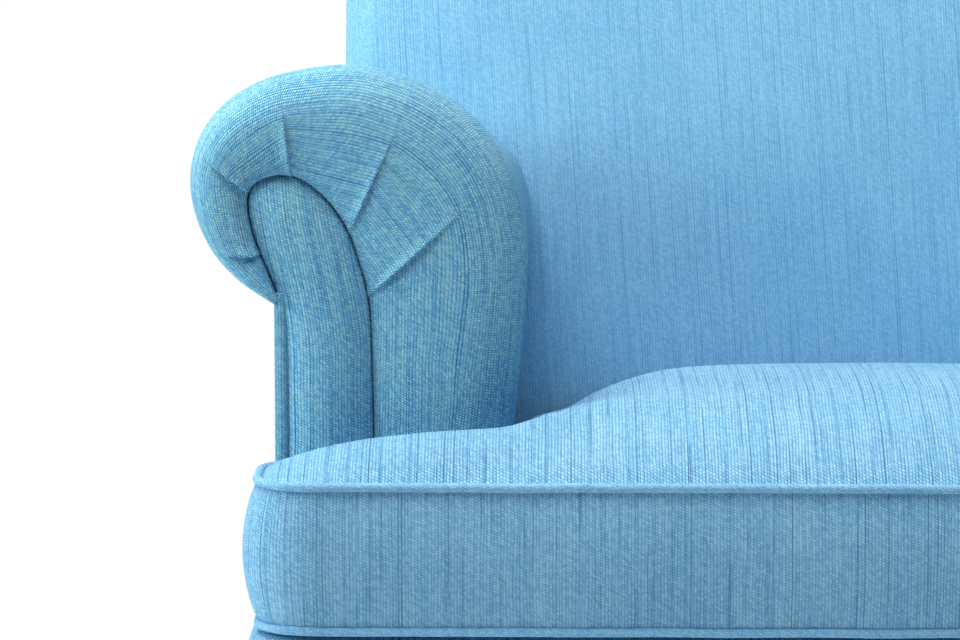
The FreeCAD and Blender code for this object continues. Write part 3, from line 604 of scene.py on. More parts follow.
def facing_piece(side):
    name = "arm_facing_" + ("left" if side < 0 else "right")
    outline = Line([(-434.5, ARM_FOOT), (-434.0, 400), (-433.5, 470), (-434.7, 538), (-438.6, 562)]
                   + [tuple(p) for p in FACING_EDGE.points[4::6]] + [(-370.5, ARM_FOOT)])
    marks = outline.points
    borders = []
    for z in FACING_LEVELS:
        crossing = [a.lerp(b, (z - a.y) / (b.y - a.y)) for a, b in zip(marks, marks[1:])
                    if (a.y - z) * (b.y - z) <= 0 and a.y != b.y]
        borders.append((min(q.x for q in crossing), max(q.x for q in crossing)))
    sparse = marks[::3]
    rows, cloth = [], []
    for z, (low, high) in zip(FACING_LEVELS, borders):
        row, lengths = [], []
        for i in range(FACING_RIBS + 1):
            t = 0.5 - 0.5 * math.cos(math.pi * i / FACING_RIBS)
            x = mix(low, high, mix(i / FACING_RIBS, t, 0.6))
            edge = min((Vector((x, z)) - q).length for q in sparse)
            edge = 0.0 if i in (0, FACING_RIBS) else edge
            near = min(1.0, edge / FACING_ROLL)
            rise = math.sqrt(max(0.0, 1 - (1 - near) ** 2))
            swell = FACING_SWELL * smoothstep(8, 32, edge)
            y = SEAM_DEPTH + 1 - (SEAM_DEPTH + 1 - FACING_FRONT) * rise - swell + FACING_SWELL
            row.append(at(x * -side, y, z))
            lengths.append(((x - 0.55 * (facing_middle(z) - STRAIGHT_MIDDLE)) * MM, z * MM))
        rows.append(row)
        cloth.append(lengths)
    verts, faces, lengths = grid_mesh(rows, cloth)
    if side > 0:
        faces, lengths = turned(faces, lengths)
    piece = new_piece(name, verts, faces, lengths, tweed_cloth_painted_brighter, "chair")
    soften(piece)
    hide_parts("arm_facing_pad_" + name[11:])
    return piece


facings = [facing_piece(-1), facing_piece(1)]
print([f.name for f in facings])

# %% [markdown]
# ## The seat cushion
# A T-cushion has two ears that reach round in front of the arms. Its top and bottom panels are joined by a
# boxing strip, with a welt in each seam. A grid can follow the T if its columns are shared: the neck's
# columns carry on between the ears. Each panel keeps its seam fixed and swells away from it, so the height of
# the crown depends on the distance to the seams, and is lower over the ears than in the middle of the seat.

# %% The T-shaped plan
EAR_REAR, NECK_HALF = 84.0, 259.0
FRONT_ROUND, EAR_ROUND, REAR_ROUND = 34.0, 22.0, 26.0


def half_width(y):
    """Half the cushion's width at depth y: over the ears, or between the arms."""
    if y <= EAR_REAR:
        if y < FRONT_ROUND:
            return CUSHION_HALF - FRONT_ROUND + math.sqrt(max(0, FRONT_ROUND ** 2 - (FRONT_ROUND - y) ** 2))
        into = max(0.0, y - (EAR_REAR - EAR_ROUND))
        return CUSHION_HALF - EAR_ROUND + math.sqrt(max(0, EAR_ROUND ** 2 - into ** 2))
    into = max(0.0, y - (CUSHION_REAR - REAR_ROUND))
    return NECK_HALF - REAR_ROUND + math.sqrt(max(0, REAR_ROUND ** 2 - into ** 2))


def rounding(radius, steps):
    """Depths of the rows round a corner of that radius, closest together at the edge."""
    return [radius * (1 - math.cos(math.pi / 2 * i / steps)) for i in range(steps + 1)]


front_rows = rounding(FRONT_ROUND, 7)[:-1] + [34, 42, 50, 57, 62]
front_rows += [EAR_REAR - v for v in reversed(rounding(EAR_ROUND, 5)[:-1])]
neck_rows = [EAR_REAR + (CUSHION_REAR - REAR_ROUND - EAR_REAR) * i / 44 for i in range(1, 45)]
neck_rows += [CUSHION_REAR - v for v in reversed(rounding(REAR_ROUND, 6)[:-1])]
EAR_COLUMNS, NECK_COLUMNS = 20, 52


def plan_row(y, ears):
    """The (x, y) points of one row of the plan, over the ears or between the arms."""
    half = half_width(y if ears else max(y, EAR_REAR + 0.001))
    neck = [mix(-NECK_HALF, NECK_HALF, i / NECK_COLUMNS) if ears else mix(-half, half, i / NECK_COLUMNS)
            for i in range(NECK_COLUMNS + 1)]
    if not ears:
        return [(x, y) for x in neck]
    left = [mix(-half, -NECK_HALF, i / EAR_COLUMNS) for i in range(EAR_COLUMNS)]
    return [(x, y) for x in left + neck + [-x for x in reversed(left)]]


def t_plan():
    """Points of the T, its faces, and the indices round its edge, anticlockwise from the front left."""
    points, rows = [], []
    for y in front_rows:
        rows.append(range(len(points), len(points) + 2 * EAR_COLUMNS + NECK_COLUMNS + 1))
        points += plan_row(y, True)
    for y in neck_rows:
        rows.append(range(len(points), len(points) + NECK_COLUMNS + 1))
        points += plan_row(y, False)
    faces = []
    for a, b in zip(rows, rows[1:]):
        start = EAR_COLUMNS if len(a) > len(b) else 0
        faces += [(a[start + i], a[start + i + 1], b[i + 1], b[i]) for i in range(len(b) - 1)]
    last = len(front_rows) - 1
    right = [r[-1] for r in rows[1:last + 1]]
    right += list(reversed(rows[last][-EAR_COLUMNS - 1:-1])) + [r[-1] for r in rows[last + 1:]]
    left = [r[0] for r in rows[1:last + 1]]
    left += list(rows[last][1:EAR_COLUMNS + 1]) + [r[0] for r in rows[last + 1:]]
    edge = list(rows[0]) + right + list(reversed(rows[-1]))[1:-1] + list(reversed(left))
    return points, faces, edge


plan, plan_faces, plan_edge = t_plan()
print(len(plan), "points in the plan,", len(plan_edge), "round its edge")

# %% [markdown]
# The crown is fullest about 170 mm behind the front seam. Down is springy, so the top climbs fast from each
# seam and then levels off: an exponential describes that with a single length. Behind the fullest line the
# seat slopes back, and the rear seam itself sinks towards its corners. Behind each ear the cushion presses
# against the arm instead of falling away, so the side's climb is hidden there.

# %% The crown
CROWN, FRONT_CLIMB, SIDE_CLIMB, EAR_CLIMB = 49.5, 38.0, 43.0, 52.0
SLOPE_START, SLOPE_BLEND, SLOPE = 235.0, 40.0, 0.18


def seam_sag(x, y):
    """How far the top seam sinks below its height at the front."""
    return 40 * smoothstep(150, CUSHION_REAR, y) * mix(0.3, 1.0, smoothstep(150, 262, abs(x)))


def climb(distance, length):
    return 1 - math.exp(-max(0.0, distance) / length)


def edge_distance(x, y):
    """Distance to the nearest edge of the plan."""
    nearest = min(y, CUSHION_REAR - y, half_width(y) - abs(x))
    if EAR_REAR - 30 < y <= EAR_REAR and abs(x) > NECK_HALF:
        nearest = min(nearest, EAR_REAR - y)
    return max(0.0, nearest)


def crown_height(x, y):
    """Height of the crown over the front seam."""
    wide = abs(x)
    if y <= EAR_REAR:
        side = climb(CUSHION_HALF - wide, EAR_CLIMB)
        side *= mix(1.0, climb(EAR_REAR - y, 12.0), smoothstep(NECK_HALF + 3, NECK_HALF + 26, wide))
        side *= 1 - 0.14 * smoothstep(30, EAR_REAR, y) * smoothstep(NECK_HALF - 70, NECK_HALF, wide)
    else:
        pressed = 80 * math.exp((EAR_REAR - y) / 35)
        side = climb(NECK_HALF - wide + pressed, SIDE_CLIMB)
    back = y - SLOPE_START
    fall = SLOPE / 2 * (back + math.sqrt(back * back + SLOPE_BLEND ** 2))
    full = CROWN * climb(y, FRONT_CLIMB) * side - fall
    low = 2 - seam_sag(x, y)
    full = low + 4 * math.log1p(math.exp(min(30.0, (full - low) / 4)))
    true = edge_distance(x, y)
    lip = smoothstep(-0.5, 11.0, true)
    dimple = 0.9 * noise.noise(Vector((x * 0.011, y * 0.011, 3.0))) * smoothstep(10, 60, true)
    return mix(-seam_sag(x, y), full, lip) + dimple


print("crown", round(max(crown_height(x, y) for x, y in plan), 1), "mm over the seam")

# %% [markdown]
# The boxing strip bulges a little between its seams where nothing holds it back: at the front and round the
# ears. Between the arms and at the zip it stays nearly flat. The bulge is set per side, because one value
# all round would press the cushion into the arms when it is lifted out.

# %% The boxing strip
BORDER_ROWS = 14
ZIP_LOW, ZIP_HIGH = span("cushion_zip")


def edge_normals():
    """Outward directions at the points of the plan's edge."""
    normals = []
    for i in range(len(plan_edge)):
        a, b = (Vector(plan[plan_edge[(i + k) % len(plan_edge)]]) for k in (-1, 1))
        run = (b - a).normalized()
        normals.append(Vector((run.y, -run.x)))
    return normals


def swell_limit(x, y):
    """How far the boxing strip may bulge at a point of the plan's edge."""
    free = mix(8.0, 11.5, smoothstep(0, 30, y)) * (1 - smoothstep(44, 80, y))
    if y > EAR_REAR - 12:
        free = 2.4 if y < CUSHION_REAR - 20 else 1.5 * smoothstep(200, 235, abs(x))
    return free


def seam_point(i, top, out=0.0):
    """A point of a seam, with the small unevenness that hand-guided sewing leaves."""
    x, y = plan[plan_edge[i]]
    n = plan_normals[i]
    z = SEAM_TOP - seam_sag(x, y) if top else SEAM_BOTTOM
    z += 0.6 * noise.noise(Vector((x * 0.02, y * 0.02, 7.0 * top)))
    return Vector((x + n.x * out, y + n.y * out, z))


plan_normals = edge_normals()
edge_points = [Vector(plan[i]) for i in plan_edge]
edge_run = [0.0]
for a, b in zip(edge_points, edge_points[1:] + edge_points[:1]):
    edge_run.append(edge_run[-1] + (b - a).length)
print("seam length", round(edge_run[-1]), "mm")


def border_point(i, k):
    """A point of the boxing strip, k rows below the top seam, with a recess for the zip."""
    t = k / BORDER_ROWS
    top, bottom = seam_point(i, True), seam_point(i, False)
    x, y = plan[plan_edge[i]]
    out = swell_limit(x, y) * math.sin(math.pi * t) ** 0.72
    z = mix(top.z, bottom.z, t)
    n = plan_normals[i]
    if y > CUSHION_REAR - 5 and abs(x) < ZIP_HIGH[0] + 4 and abs(z - (ZIP_LOW[2] + ZIP_HIGH[2]) / 2) < 15:
        out = -2.4
    return Vector((x + n.x * out, y + n.y * out, z))


# %% [markdown]
# The cushion is one closed mesh: crown, boxing strip and bottom. The seams and the bottom, which rests on
# the deck, are held by a vertex group, and a short cloth simulation with a little pressure lets the free
# cloth swell. Remeshing first would be more general, but here the grid already follows the cloth, and
# keeping it keeps the cloth lengths. The pressure alone would move the cloth by up to a centimetre. Each
# point's move is therefore cut back to 3 mm, so the drawn shape and its measures lead and the simulation
# only fills it out.

# %% Build the cushion
def cushion_mesh():
    """Points, faces and cloth lengths of the whole cushion, and the points that stay where they are."""
    count = len(plan)
    verts = [Vector((x, y, SEAM_TOP + crown_height(x, y))) for x, y in plan]
    inner = {i: k for k, i in enumerate(plan_edge)}
    for i, k in inner.items():
        verts[i] = seam_point(k, True)
    faces, cloth, held = [], [], set(plan_edge)
    for f in plan_faces:
        faces.append(list(f))
        cloth.append([(plan[i][0] * MM, plan[i][1] * MM) for i in f])
    ring = len(plan_edge)
    for k in range(1, BORDER_ROWS):
        verts += [border_point(i, k) for i in range(ring)]
    below = len(verts)
    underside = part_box("cushion_bottom_cover")[0][2] / MM
    for x, y in plan:
        drop = smoothstep(0, 14, min(y, CUSHION_REAR - y, half_width(y) - abs(x)))
        verts.append(Vector((x, y, SEAM_BOTTOM - (SEAM_BOTTOM - underside) * drop)))
    for i, k in inner.items():
        verts[below + i] = seam_point(k, False)
    rows = [plan_edge] + [[count + (k - 1) * ring + i for i in range(ring)] for k in range(1, BORDER_ROWS)]
    rows.append([below + i for i in plan_edge])
    for k in range(BORDER_ROWS):
        for i in range(ring):
            j = (i + 1) % ring
            faces.append([rows[k + 1][i], rows[k + 1][j], rows[k][j], rows[k][i]])
            z = [(SEAM_TOP - (SEAM_TOP - SEAM_BOTTOM) * q / BORDER_ROWS) * MM for q in (k + 1, k)]
            a, b = edge_run[i] * MM, edge_run[i + 1] * MM
            cloth.append([(a, z[0]), (b, z[0]), (b, z[1]), (a, z[1])])
    for f in plan_faces:
        faces.append([below + i for i in reversed(f)])
        cloth.append([(plan[i][0] * MM, plan[i][1] * MM) for i in reversed(f)])
    held |= {below + i for i in range(count)}
    rear_ring = [i for i in range(ring) if plan[plan_edge[i]][1] > EAR_REAR - 2]
    held |= {count + (k - 1) * ring + i for k in range(1, BORDER_ROWS) for i in rear_ring}
    return [at(*v) for v in verts], faces, cloth, sorted(held)


SETTLE_FRAMES = 16


def settle(piece, held, pressure, most):
    """Lets cloth swell between held points, then cuts each point's simulated move back to `most` metres."""
    start = [v.co.copy() for v in piece.data.vertices]
    group = piece.vertex_groups.new(name="held")
    group.add(held, 1.0, "REPLACE")
    cloth = piece.modifiers.new("cloth", "CLOTH")
    settings = cloth.settings
    settings.use_pressure = True
    settings.uniform_pressure_force = pressure
    settings.vertex_group_mass = "held"
    settings.effector_weights.gravity = 0.0
    settings.quality = 5
    settings.mass = 0.3
    settings.tension_stiffness = settings.compression_stiffness = 12
    settings.bending_stiffness = 1.5
    cloth.point_cache.frame_start, cloth.point_cache.frame_end = 1, SETTLE_FRAMES
    for number in range(1, SETTLE_FRAMES + 1):
        bpy.context.scene.frame_set(number)
    graph = bpy.context.evaluated_depsgraph_get()
    moved = [v.co.copy() for v in piece.evaluated_get(graph).data.vertices]
    piece.modifiers.remove(cloth)
    furthest, cut_back = 0.0, 0
    for vertex, a, b in zip(piece.data.vertices, start, moved):
        step = b - a
        furthest = max(furthest, step.length)
        if step.length > most:
            step = step * (most / step.length)
            cut_back += 1
        vertex.co = a + step
    bpy.context.scene.frame_set(1)
    print(piece.name, "moved by up to", round(furthest / MM, 1), "mm in the simulation;", cut_back, "of",
          len(start) - len(held), "free points were cut back to", round(most / MM, 1), "mm")


cushion_parts = cushion_mesh()
cushion = new_piece("seat_cushion", *cushion_parts[:3], seat_cloth, "seat_cushion")
settle(cushion, cushion_parts[3], pressure=2.5, most=3.0 * MM)
soften(cushion)
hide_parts("cushion_foam", "cushion_wrap", "cushion_top_cover", "cushion_border",
            "cushion_rear_border", "cushion_bottom_cover")
print("cushion faces", len(cushion.data.polygons))

# %% [markdown]
# Self-piping is a bias strip of the same cloth folded round a cord, so its yarns run across the cord at a
# slant. A tube swept along the seam, with the cloth lengths turned by that slant, gives the short ribbed
# threads. A bevelled curve would be quicker, but a curve can't carry the slanted lengths.

# %% Welts
WELT_SIDES = 12
BIAS = 0.75


def welt_piece(name, top):
    """The piping along the cushion's top seam, or along its bottom seam."""
    ring = len(plan_edge)
    rows, cloth = [], []
    for i in list(range(ring)) + [0]:
        centre = seam_point(i, top, out=0.8)
        n = plan_normals[i]
        row = []
        for k in range(WELT_SIDES):
            turn = 2 * math.pi * k / WELT_SIDES
            radius = WELT_R * (1.0 + 0.04 * noise.noise(Vector((i * 0.7, k * 0.5, 2.0))))
            row.append(at(centre.x + n.x * radius * math.cos(turn), centre.y + n.y * radius * math.cos(turn),
                          centre.z + radius * math.sin(turn)))
        run = edge_run[i] if len(rows) < ring else edge_run[-1]
        lengths = [((run + BIAS * WELT_R * 2 * math.pi * k / WELT_SIDES) * MM,
                    (WELT_R * 2 * math.pi * k / WELT_SIDES - BIAS * run) * MM) for k in range(WELT_SIDES + 1)]
        rows.append(row)
        cloth.append(lengths)
    verts, faces, lengths = grid_mesh(rows, cloth, closed=True)
    faces, lengths = turned(faces, lengths)
    piece = new_piece(name, verts, faces, lengths, welt_cloth, "seat_cushion", "blue_welt")
    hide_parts("cushion_welts")
    return piece


welts = [welt_piece("cushion_welt_top", True), welt_piece("cushion_welt_bottom", False)]
print([w.name for w in welts])

# %% [markdown]
# ## Soft blocks
# The back, the deck and the outside panels are all blocks with rounded edges. Each is a box whose surface is
# cut into a grid; a point near an edge is pushed onto a sphere or cylinder of the edge's radius. A bevel
# modifier does much the same, but then the cloth lengths would have to be unwrapped again on the new faces.

# %% A soft block
def cuts(low, high, radius, pitch):
    """Grid lines along one side: close over the rounded edges, and about `pitch` apart between them."""
    edge = [radius * k / 4 for k in range(5)]
    count = max(2, round((high - low - 2 * radius) / pitch))
    middle = [mix(low + radius, high - radius, k / count) for k in range(1, count)]
    return [low + e for e in edge] + middle + [high - e for e in reversed(edge)]


def soft_block(name, low, high, radius, pitch, shape, cloth, material, body, slot="blue_tweed"):
    """A rounded block from low to high. shape(p) gives a point's last place, cloth(p, side) its lengths."""
    lines = [cuts(low[k], high[k], radius, pitch) for k in range(3)]
    index, verts, faces, lengths = {}, [], [], []

    def corner(key):
        if key not in index:
            raw = Vector([lines[k][key[k]] for k in range(3)])
            core = Vector([min(max(raw[k], low[k] + radius), high[k] - radius) for k in range(3)])
            away = raw - core
            point = core + away.normalized() * radius if away.length > 1e-6 else raw
            index[key] = len(verts)
            verts.append(at(*shape(point)))
        return index[key]

    for axis in range(3):
        u, v = (axis + 1) % 3, (axis + 2) % 3
        for end in (0, 1):
            side = "xyz"[axis] + "-+"[end]
            level = (len(lines[axis]) - 1) * end
            for i in range(len(lines[u]) - 1):
                for j in range(len(lines[v]) - 1):
                    keys = []
                    for a, b in ((i, j), (i + 1, j), (i + 1, j + 1), (i, j + 1)):
                        key = [0, 0, 0]
                        key[axis], key[u], key[v] = level, a, b
                        keys.append(tuple(key))
                    keys = keys if end else keys[::-1]
                    faces.append([corner(k) for k in keys])
                    lengths.append([cloth([lines[k][key[k]] for k in range(3)], side) for key in keys])
    piece = new_piece(name, verts, faces, lengths, material, body, slot)
    soften(piece)
    return piece


# %% [markdown]
# ## The back
# The back is tight: its cover is pulled over foam and tacked to a frame that leans back by 12 degrees. The
# foam is up to 19 mm fuller half-way up, so the cloth stands nearly upright above the seat and leans back
# more towards its top. Its yarns lean a few degrees too, because the cover was pulled slightly askew. The
# cover turns over the sides and the top in one piece.

# %% Inside back
back_low, back_high = span("inside_back_cover")
BACK_HALF, BACK_FOOT, BACK_CROWN = back_high[0], back_low[2], back_high[2]
BACK_ROUND, YARN_LEAN = 30.0, math.tan(math.radians(3.6))
BACK_BEND, BACK_FULL = 400.0, 19.0
BACK_DEEP = BACK_PAD + POST_DEEP - 1


def back_shape(p):
    rise = max(0.0, (p.z - BACK_BEND) / (BACK_CROWN - BACK_BEND))
    fullness = (1 - (p.x / BACK_HALF) ** 6) * 4 * rise * (1 - rise)
    front = 1 - smoothstep(20, 90, p.y)
    uneven = 1.2 * noise.noise(Vector((p.x * 0.006, p.z * 0.006, 1.0)))
    deep = min(p.y, BACK_DEEP)
    return p.x, back_at(p.z, BACK_PAD) + deep - (BACK_FULL * fullness + uneven) * front, p.z


def back_lengths(p, side):
    x, y, z = p
    if side[0] == "x":
        return ((math.copysign(BACK_HALF + y, x) + YARN_LEAN * z) * MM, z * MM)
    if side == "z+":
        return ((x + YARN_LEAN * (z + y)) * MM, (z + y) * MM)
    return ((x + YARN_LEAN * z) * MM, z * MM)


back = soft_block("inside_back", (-BACK_HALF, 0, BACK_FOOT), (BACK_HALF, BACK_DEEP + BACK_ROUND, BACK_CROWN),
                  BACK_ROUND, 14.0, back_shape, back_lengths, back_cloth_painted_darker, "chair")
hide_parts("back_foam", "inside_back_cover")
print("back faces", len(back.data.polygons))

# %% [markdown]
# ## Outside panels
# The outside of each arm is a flat panel of cloth over board, folded under at the front so that a narrow
# strip of it shows beside the facing, with its seam a few millimetres in. It tucks under the roll at the top.

# %% Outside arm panels
WALL_FRONT, WALL_DEPTH, WALL_TOP = 97.0, 700.0, 566.0
WALL_HALF, WALL_THICK, WALL_ROUND = 442.0, 9.5, 4.2


def wall_piece(side):
    name = "outside_arm_" + ("left" if side < 0 else "right")
    node = "outside_arm_panel_" + ("left" if side < 0 else "right")
    low, high = span(node)
    wide = max(abs(low[0]), abs(high[0]))

    def shape(p):
        rear = back_at(p.z) + POST_DEEP - 1
        y = mix(WALL_FRONT, rear, (p.y - WALL_FRONT) / WALL_DEPTH)
        seam = 1.1 * math.exp(-((y - 105.5) / 1.3) ** 2) if y < 120 else 0.0
        puff = 2.0 * smoothstep(100, 200, y) * smoothstep(170, 260, p.z) * (1 - smoothstep(470, 556, p.z))
        return (p.x + WALL_HALF - wide - (puff - seam) * (p.x < -438)) * -side, y, p.z

    def cloth(p, face):
        y = mix(WALL_FRONT, back_at(p[2]) + POST_DEEP - 1, (p[1] - WALL_FRONT) / WALL_DEPTH)
        return ((-y if face[0] != "y" else -WALL_FRONT + (p[0] + WALL_HALF)) * MM, p[2] * MM)

    piece = soft_block(name, (-WALL_HALF, WALL_FRONT, low[2]),
                       (-WALL_HALF + WALL_THICK, WALL_FRONT + WALL_DEPTH, WALL_TOP), WALL_ROUND, 12.0,
                       shape, cloth, tweed_cloth_painted_brighter, "chair")
    if side > 0:
        piece.data.flip_normals()
    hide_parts(node)
    return piece


walls = [wall_piece(-1), wall_piece(1)]
print([w.name for w in walls])

# %% [markdown]
# The rear panel closes the chair and is blind-stitched along its edge. Its outline runs up the outside walls,
# round the ends of the arm rolls and up the sides of the back. Rows across the panel, each as wide as the
# chair is at that height, make it in one piece, and a shallow ditch follows its edge where the stitches pull.

# %% Outside back
rear_low, rear_high = span("outside_back_panel")


def rear_half(z):
    """Half the chair's width at height z, seen from behind."""
    full = ROLL_FOOT + (z - ROLL_FOOT) / squash(back_at(z) + POST_DEEP) if z > ROLL_FOOT else z
    outer = [a.lerp(b, (full - a.y) / (b.y - a.y)).x for a, b in zip(ROLL.points, ROLL.points[1:])
             if (a.y - full) * (b.y - full) <= 0 and a.y != b.y and a.x < -385]
    if z < 556:
        return 441.0
    if full < ROLL_TOP and outer:
        return max(BACK_HALF + 0.5, -min(outer))
    corner = max(0.0, z - (rear_high[2] - BACK_ROUND))
    return BACK_HALF + 0.5 - BACK_ROUND + math.sqrt(max(0.0, BACK_ROUND ** 2 - corner ** 2))


def rear_levels():
    """Heights of the panel's rows, closest together round the arm rolls and the top corners."""
    levels = [rear_low[2] + v for v in (0, 1.5, 4, 8)] + [rear_low[2] + 8 + 12.0 * k for k in range(1, 32)]
    levels = [z for z in levels if z < 552]
    levels += [556 + 3.0 * k for k in range(56)]
    levels += [726 + 12.0 * k for k in range(14)]
    top = rear_high[2]
    levels += [top - BACK_ROUND * (1 - math.sin(math.pi / 2 * k / 8)) for k in range(9)]
    return sorted(levels)


REAR_RIBS, REAR_EDGE, REAR_PUFF = 72, 6.0, 3.0
STITCH_IN, STITCH_DITCH = 11, 1.8


def rear_piece():
    rows, cloth = [], []
    for z in rear_levels():
        half = rear_half(z)
        row, lengths = [], []
        for i in range(REAR_RIBS + 1):
            t = 2 * i / REAR_RIBS - 1
            x = half * math.copysign(1 - (1 - abs(t)) ** 1.35, t)
            edge = min(half - abs(x), z - rear_low[2], rear_high[2] - z)
            out = REAR_EDGE * math.sqrt(min(1.0, max(0.0, edge) / REAR_EDGE))
            ditch = STITCH_DITCH * math.exp(-((edge - STITCH_IN) / 2.2) ** 2)
            puff = REAR_PUFF * smoothstep(12, 120, edge)
            row.append(at(x, back_at(z) + POST_DEEP - 1 + out - ditch + puff - REAR_PUFF, z))
            lengths.append((x * MM, z * MM))
        rows.append(row)
        cloth.append(lengths)
    verts, faces, lengths = grid_mesh(rows, cloth)
    faces, lengths = turned(faces, lengths)
    piece = new_piece("outside_back", verts, faces, lengths, tweed_cloth_painted_brighter, "chair")
    soften(piece)
    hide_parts("outside_back_panel")
    return piece


rear = rear_piece()
print("rear faces", len(rear.data.polygons))

# %% [markdown]
# ## The base
# A padded band covers the front rail, turns back at both front corners and is tucked in under the arms. It
# is swept along that path with one rounded section. A sweep keeps the roll at the top even round the
# corners, which is where the eye catches any bump. The lower edge is turned under the rail.

# %% Padded band round the base
band_low, band_high = span("front_border_cover")


def band_path():
    """Plan points and outward directions of the band, from the rear of its left return to the right one."""
    half, front, rear, radius = band_high[0], band_low[1], band_high[1], 36.0
    tucked, small = -432.0, 12.0
    side = [((tucked, rear), (0.0, 1.0)), ((-half + small, rear), (0.0, 1.0))]
    for k in range(1, 7):
        a = math.pi / 2 * k / 6
        side.append(((-half + small * (1 - math.sin(a)), rear - small * (1 - math.cos(a))),
                     (-math.sin(a), math.cos(a))))
    side += [((-half, mix(rear - small, front + radius, k / 8)), (-1.0, 0.0)) for k in range(1, 8)]
    turn = []
    for k in range(13):
        a = math.pi / 2 * k / 12
        turn.append(((-half + radius * (1 - math.cos(a)), front + radius * (1 - math.sin(a))),
                     (-math.cos(a), -math.sin(a))))
    face = [((mix(-half + radius, 0, k / 34), front), (0.0, -1.0)) for k in range(1, 35)]
    left = side + turn + face
    return left + [((-p[0], p[1]), (-n[0], n[1])) for p, n in reversed(left[:-1])]


UNDER_ROLL, TOP_ROLL, BAND_PUFF = 11, 15, 2.0


def quarter(steps):
    """Angles of a quarter turn, in that many steps."""
    return [math.pi / 2 * k / steps for k in range(steps + 1)]


def band_piece():
    foot, top = band_low[2], band_high[2]
    section = [(-22.0, foot + 3), (-14.0, foot + 1)]
    section += [(-UNDER_ROLL + UNDER_ROLL * math.sin(a), foot + UNDER_ROLL - UNDER_ROLL * math.cos(a))
                for a in quarter(6)]
    tall = top - foot - (UNDER_ROLL + TOP_ROLL)
    heights = [mix(foot + UNDER_ROLL, top - TOP_ROLL, k / 16) for k in range(1, 16)]
    section += [(BAND_PUFF * math.sin(math.pi * (z - foot - UNDER_ROLL) / tall), z) for z in heights]
    section += [(-TOP_ROLL + TOP_ROLL * math.cos(a), top - TOP_ROLL + TOP_ROLL * math.sin(a))
                for a in quarter(8)]
    section += [(-22.0, top), (-30.0, top - 1.5)]
    lengths_up = [0.0]
    for a, b in zip(section, section[1:]):
        lengths_up.append(lengths_up[-1] + math.hypot(b[0] - a[0], b[1] - a[1]))
    rows, cloth, run, last = [], [], 0.0, None
    for (x, y), n in band_path():
        if last is not None:
            run += math.hypot(x - last[0], y - last[1])
        last = (x, y)
        wave = 0.8 * noise.noise(Vector((x * 0.012, y * 0.012, 9.0)))
        rows.append([at(x + n[0] * (out + wave), y + n[1] * (out + wave), z) for out, z in section])
        cloth.append([(run * MM, up * MM) for up in lengths_up])
    verts, faces, lengths = grid_mesh(rows, cloth)
    faces, lengths = turned(faces, lengths)
    piece = new_piece("base_band", verts, faces, lengths, seat_cloth, "chair")
    soften(piece)
    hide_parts("front_border_pad", "front_border_cover")
    return piece


band = band_piece()
print("band faces", len(band.data.polygons))

# %% [markdown]
# Under the cushion lies the deck: foam over hessian, covered in a plainer decking cloth that nobody sees
# until the cushion is lifted. It is T-shaped like the cushion, so the cushion's own plan gives it, with the
# neck widened to run in under the arms. A sewn line crosses it near the front. Many chairs have the tweed
# in front of that line; here the decking cloth goes on to the edge.

# %% Deck
def plain_weave(name, dark, light, pitch):
    """A plain over-and-under weave, such as hessian, webbing or decking cloth, of that yarn pitch in mm."""
    n = Nodes(name)
    place = n.node("ShaderNodeTexCoord").outputs["Object"]
    parts = n.node("ShaderNodeSeparateXYZ")
    n.feed(place, parts.inputs[0])
    spin = 1000.0 * math.pi / pitch
    sideways = n.math("SINE", n.math("MULTIPLY", parts.outputs[0], spin))
    upward = n.math("SINE", n.math("MULTIPLY", n.math("ADD", parts.outputs[1], parts.outputs[2]), spin))
    check = n.math("MULTIPLY_ADD", n.math("MULTIPLY", sideways, upward), 0.5, 0.5)
    fuzz = n.noise(place, scale=900.0, detail=3.0, roughness=0.7)
    patch = n.noise(place, scale=18.0, detail=2.0)
    faint_check = n.math("MULTIPLY", check, 0.4)
    tone = n.math("MULTIPLY_ADD", fuzz, 0.5, n.math("MULTIPLY_ADD", patch, 0.3, faint_check))
    colour = n.blend(n.step(tone, 0.2, 1.0), dark, light)
    return n.finish(colour, tone, depth=0.0003, Roughness=0.9, Specular_IOR_Level=0.2)


deck_cloth = plain_weave("decking_cloth", (0.10, 0.24, 0.38), (0.20, 0.40, 0.56), 1.0)
UNDER_ARMS, DECK_SEAM = 362.0, 120


def deck_piece():
    low, high = span("deck_foam")
    top = span("deck_cover")[1][2]
    drawn = [(x * (high[0] / CUSHION_HALF if y <= EAR_REAR else UNDER_ARMS / NECK_HALF), y) for x, y in plan]
    count = len(drawn)
    ring = [drawn[i] for i in plan_edge]

    def depth(y):
        """The deck's own depth for a depth y on the cushion."""
        return mix(low[1] + 1, high[1] - 2, y / CUSHION_REAR)

    verts, cloth, faces = [], [], []
    for x, y in drawn:
        near = min(y, CUSHION_REAR - y, half_width(y) - abs(x) if y != EAR_REAR else 0)
        seam = 1.4 * math.exp(-((y - DECK_SEAM) / 2.0) ** 2)
        verts.append(at(x, depth(y), top - 1.0 - 5.0 * (1 - smoothstep(0, 12, max(0, near))) - seam))
    for f in plan_faces:
        faces.append(list(f))
        cloth.append([(drawn[i][0] * MM, drawn[i][1] * MM) for i in f])
    for z in (top - 14, low[2]):
        verts += [at(x, depth(y), z) for x, y in ring]
    rows = [list(plan_edge)] + [[count + k * len(ring) + i for i in range(len(ring))] for k in range(2)]
    for a, b in zip(rows, rows[1:]):
        for i in range(len(ring)):
            j = (i + 1) % len(ring)
            faces.append([b[i], b[j], a[j], a[i]])
            cloth.append([(edge_run[i] * MM, 0), (edge_run[i + 1] * MM, 0),
                          (edge_run[i + 1] * MM, 0.02), (edge_run[i] * MM, 0.02)])
    piece = new_piece("deck", verts, faces, cloth, deck_cloth, "chair", "deck_cloth")
    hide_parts("deck_foam", "deck_cover")
    return piece


deck = deck_piece()
print("deck faces", len(deck.data.polygons))

